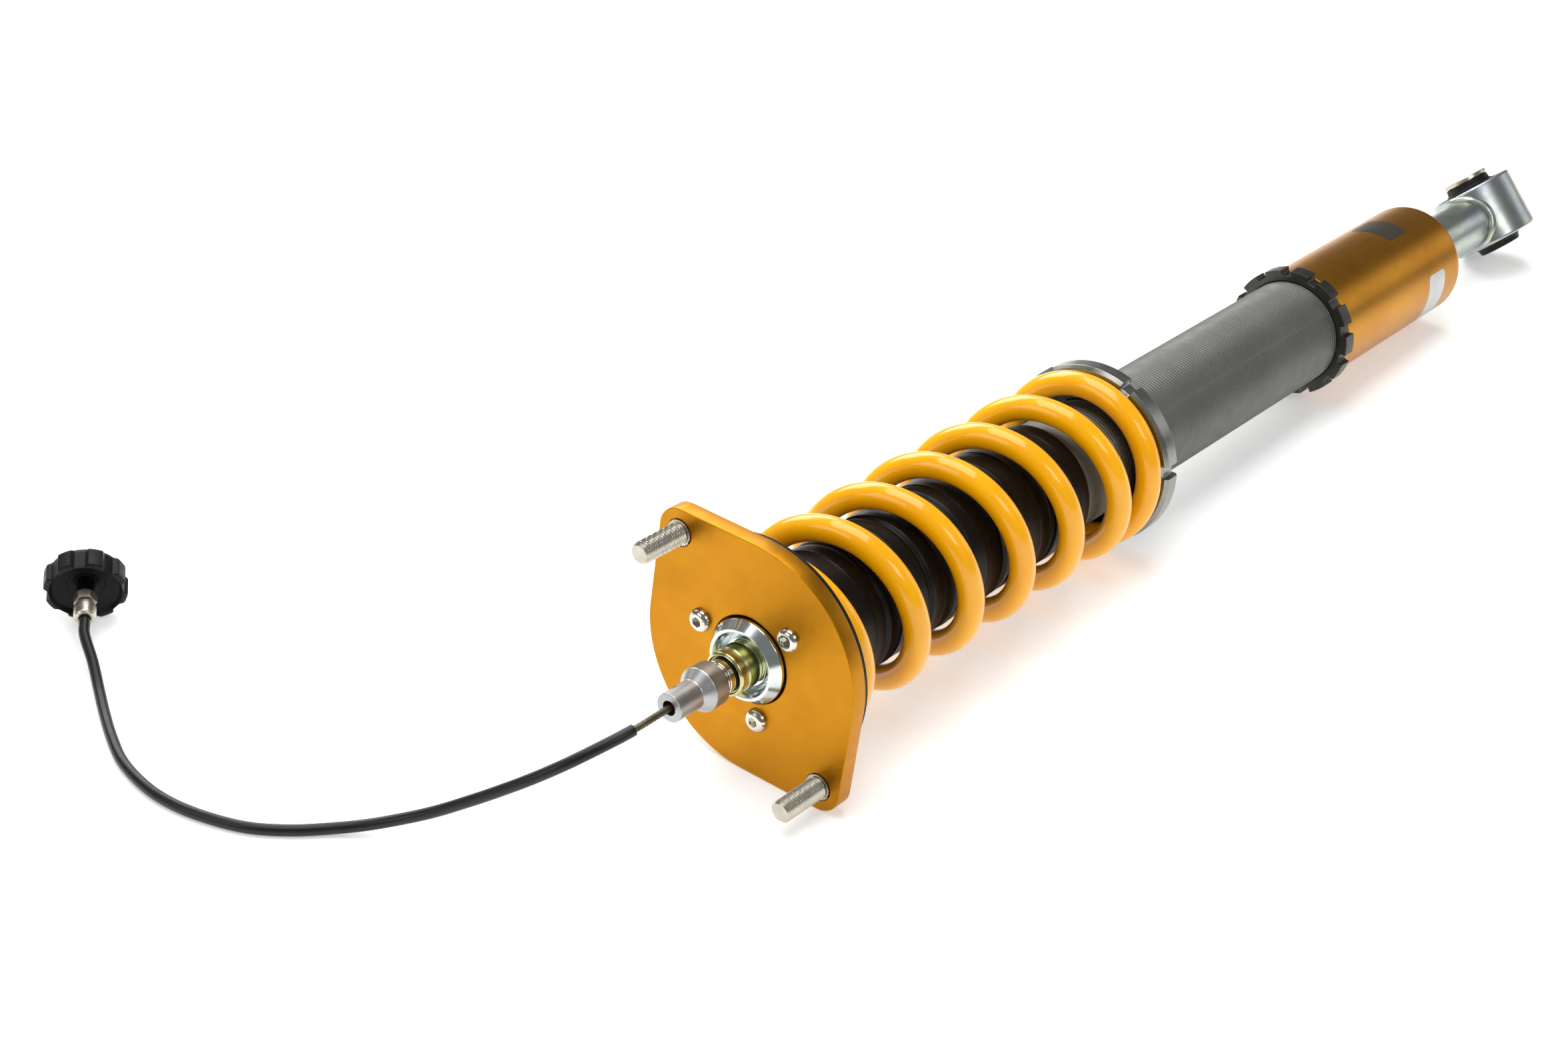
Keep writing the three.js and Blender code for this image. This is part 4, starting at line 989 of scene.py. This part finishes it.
def make_knob(s):
    """Makes the knob, its hex nut and the ferrule that grips the sleeve, and returns them."""
    angles = ring_angles(s.lobes * 48)
    hollow = 16.1
    share = (knob_rim(angles, s.knob, s.lobes) - hollow) / (s.knob - hollow)

    def lobed(x, r, a):
        return np.where(r > hollow, hollow + (r - hollow) * share, r * np.ones_like(a))

    body = turned([(-6, 0, 0), (-6, 15.2, 0.9), (-4, s.knob, 1.0), (5.4, s.knob, 0.5), (6, 17.5, 0.35),
                   (6, 16.0, 0.3), (3.6, 14.8, 0.8), (1.2, 10.0, 1.2), (0.6, 8.5, 0.3), (1.3, 8.1, 0.25),
                   (0.4, 6.0, 0.6), (-0.6, 4.2, 0.5), (6.0, 3.7, 1.0), (7.1, 4.1, 0.2), (7.1, 0, 0)],
                  angles=angles, swing=lobed, steps=5)
    knob = piece("lobed_knob", [body], finish(knob_nylon), "adjuster_knob", ["knob"], place=KNOB)
    half_flats = 4.5
    hexagon = turned([(7.5, 0, 0), (7.5, 4.4, 0.4), (8.5, 5.2, 0.2), (12.4, 5.2, 0.2), (12.4, 0, 0)],
                     swing=lambda x, r, a: np.minimum(r, half_flats * six_sided(a) / math.cos(math.pi / 6)))
    nut = piece("knob_hexagon", [hexagon], finish(nickel), "adjuster_knob", ["knob_hex_nut"],
                place=KNOB)
    ferrule = turned([(12.8, 1.9, 0.1), (12.8, 3.9, 0.4), (14.2, 3.9, 0.2), (14.8, 5.0, 0.4), (20.6, 5.0, 0.5),
                      (21.8, 4.3, 0.5), (21.8, 2.75, 0.2), (17.0, 2.75, 0.1), (17.0, 1.9, 0.1)], 72)
    grip = piece("sleeve_ferrule", [ferrule], finish(nickel), "adjuster_knob", ["cable_ferrule"],
                 place=KNOB)
    return [knob, nut, grip]


# ---------------------------------------------------------------- carried-over nodes and the stage

class COILOVER_OT_inner_parts(bpy.types.Operator):
    """Gives every carried-over node the finish of its material slot."""

    bl_idname = "coilover.inner_parts"
    bl_label = "Inner parts"

    def execute(self, context):
        for part in frame["record"]["subparts"]:
            node = frame["nodes"][part["node"]]
            if node.hide_render:
                continue
            node.data.materials.clear()
            node.data.materials.append(finish(SLOT_FINISHES[part["material_slot"]]))
        return {"FINISHED"}


class StageLights(bpy.types.PropertyGroup):
    """Strengths of the studio lights."""

    overhead: FloatProperty(name="Overhead", description="Power of the overhead softbox", default=20.0,
                            unit="POWER")
    back: FloatProperty(name="Back", description="Power of the softbox behind the damper", default=26.0,
                        unit="POWER")
    side: FloatProperty(name="Side", description="Power of the softbox at the camera's left", default=5.0,
                        unit="POWER")
    far: FloatProperty(name="Far", description="Power of the softbox beyond the eye", default=5.0,
                       unit="POWER")
    front: FloatProperty(name="Front", description="Power of the softbox right of the camera", default=7.0,
                         unit="POWER")
    sky: FloatProperty(name="Room", description="Strength of the white room", default=0.22)


BENCH_MIDDLE = (-0.05, 0.0, 0.05)
# Place, aim and size in metres of each softbox; its power has the same name in StageLights.
SOFTBOXES = {
    "overhead": ((-0.1, 0.25, 1.5), BENCH_MIDDLE, (1.6, 1.0)),
    "back": ((0.5, 1.6, 1.1), BENCH_MIDDLE, (1.8, 0.9)),
    "far": ((2.6, -1.3, 0.95), (0.2, 0.0, 0.05), (1.5, 0.9)),
    "front": ((-0.5, -1.5, 1.35), (0.3, 0.0, 0.05), (0.8, 0.7)),
    "side": ((-1.7, 0.5, 0.9), BENCH_MIDDLE, (0.9, 0.9)),
}
CAMERA_PLACE = (-1.04162, -0.57655, 0.69857)
CAMERA_TURN = (58.007, -2.283, -50.624)      # degrees about x, y and z
CAMERA_LENS, CAMERA_SENSOR = 62.27, 36
FLOOR_REACH = 12.0


def softbox(name, place, aim, size, power):
    """A rectangular area light at a place, turned to face a point."""
    data = bpy.data.lights.new(name, "AREA")
    data.shape, data.size, data.size_y, data.energy = "RECTANGLE", size[0], size[1], power
    lamp = bpy.data.objects.new(name, data)
    lamp.location = place
    away = np.array(aim, float) - np.array(place, float)
    lamp.rotation_euler = Vector(away).to_track_quat("-Z", "Y").to_euler()
    bpy.context.scene.collection.objects.link(lamp)


class COILOVER_OT_stage(bpy.types.Operator):
    """Sets the camera, the white sweep and the soft studio lights."""

    bl_idname = "coilover.stage"
    bl_label = "Stage"

    def execute(self, context):
        scene = context.scene
        lights = scene.coilover_lights
        camera = bpy.data.cameras.new("bench_camera")
        camera.lens, camera.sensor_width = CAMERA_LENS, CAMERA_SENSOR
        eye = bpy.data.objects.new("bench_camera", camera)
        eye.location = CAMERA_PLACE
        eye.rotation_euler = Euler([math.radians(v) for v in CAMERA_TURN])
        scene.collection.objects.link(eye)
        scene.camera = eye

        floor = bpy.data.meshes.new("white_sweep")
        corners = [(-1, -1, 0), (1, -1, 0), (1, 1, 0), (-1, 1, 0)]
        floor.from_pydata([(FLOOR_REACH * x, FLOOR_REACH * y, z) for x, y, z in corners], [], [(0, 1, 2, 3)])
        floor.materials.append(finish(bench_paper))
        sweep = bpy.data.objects.new("white_sweep", floor)
        scene.collection.objects.link(sweep)

        scene.view_settings.view_transform = "Standard"
        world = bpy.data.worlds.new("white_room")
        scene.world = world
        world.use_nodes = True
        tree = world.node_tree
        tree.nodes.clear()
        glow = add(tree, "ShaderNodeBackground", {"Color": (1, 1, 1, 1), "Strength": lights.sky})
        add(tree, "ShaderNodeOutputWorld", {"Surface": glow.outputs[0]})
        for name, (place, aim, size) in SOFTBOXES.items():
            softbox(f"{name}_softbox", place, aim, size, getattr(lights, name))
        return {"FINISHED"}


PIECE_OPERATORS = [
    COILOVER_OT_stage, COILOVER_OT_cord, COILOVER_OT_top_mount, COILOVER_OT_rod_end, COILOVER_OT_adapter,
    COILOVER_OT_spring, COILOVER_OT_boot, COILOVER_OT_tube, COILOVER_OT_perch, COILOVER_OT_lock_ring,
    COILOVER_OT_bracket, COILOVER_OT_lower_eye, COILOVER_OT_inner_parts,
]
SETTINGS = {
    "coilover_plate": PlateSizes, "coilover_spring": SpringSizes, "coilover_tube": TubeSizes,
    "coilover_cord": CordSizes, "coilover_lights": StageLights,
}


class COILOVER_PT_pieces(bpy.types.Panel):
    """Lists the pieces and their sizes."""

    bl_label = "Coilover damper"
    bl_idname = "COILOVER_PT_pieces"
    bl_space_type = "VIEW_3D"
    bl_region_type = "UI"
    bl_category = "Coilover"

    def draw(self, context):
        for operator in PIECE_OPERATORS:
            self.layout.operator(operator.bl_idname)
        for name, group in SETTINGS.items():
            box = self.layout.box()
            box.label(text=group.__doc__)
            for prop in group.__annotations__:
                box.prop(getattr(context.scene, name), prop)


def register():
    for kind in [*SETTINGS.values(), *PIECE_OPERATORS, COILOVER_PT_pieces]:
        bpy.utils.register_class(kind)
    for name, group in SETTINGS.items():
        setattr(bpy.types.Scene, name, PointerProperty(type=group))


def unregister():
    for name in SETTINGS:
        delattr(bpy.types.Scene, name)
    for kind in [COILOVER_PT_pieces, *PIECE_OPERATORS[::-1], *SETTINGS.values()]:
        bpy.utils.unregister_class(kind)


def main():
    register()
    for operator in PIECE_OPERATORS:
        group, name = operator.bl_idname.split(".")
        getattr(getattr(bpy.ops, group), name)()


if __name__ == "__main__":
    main()
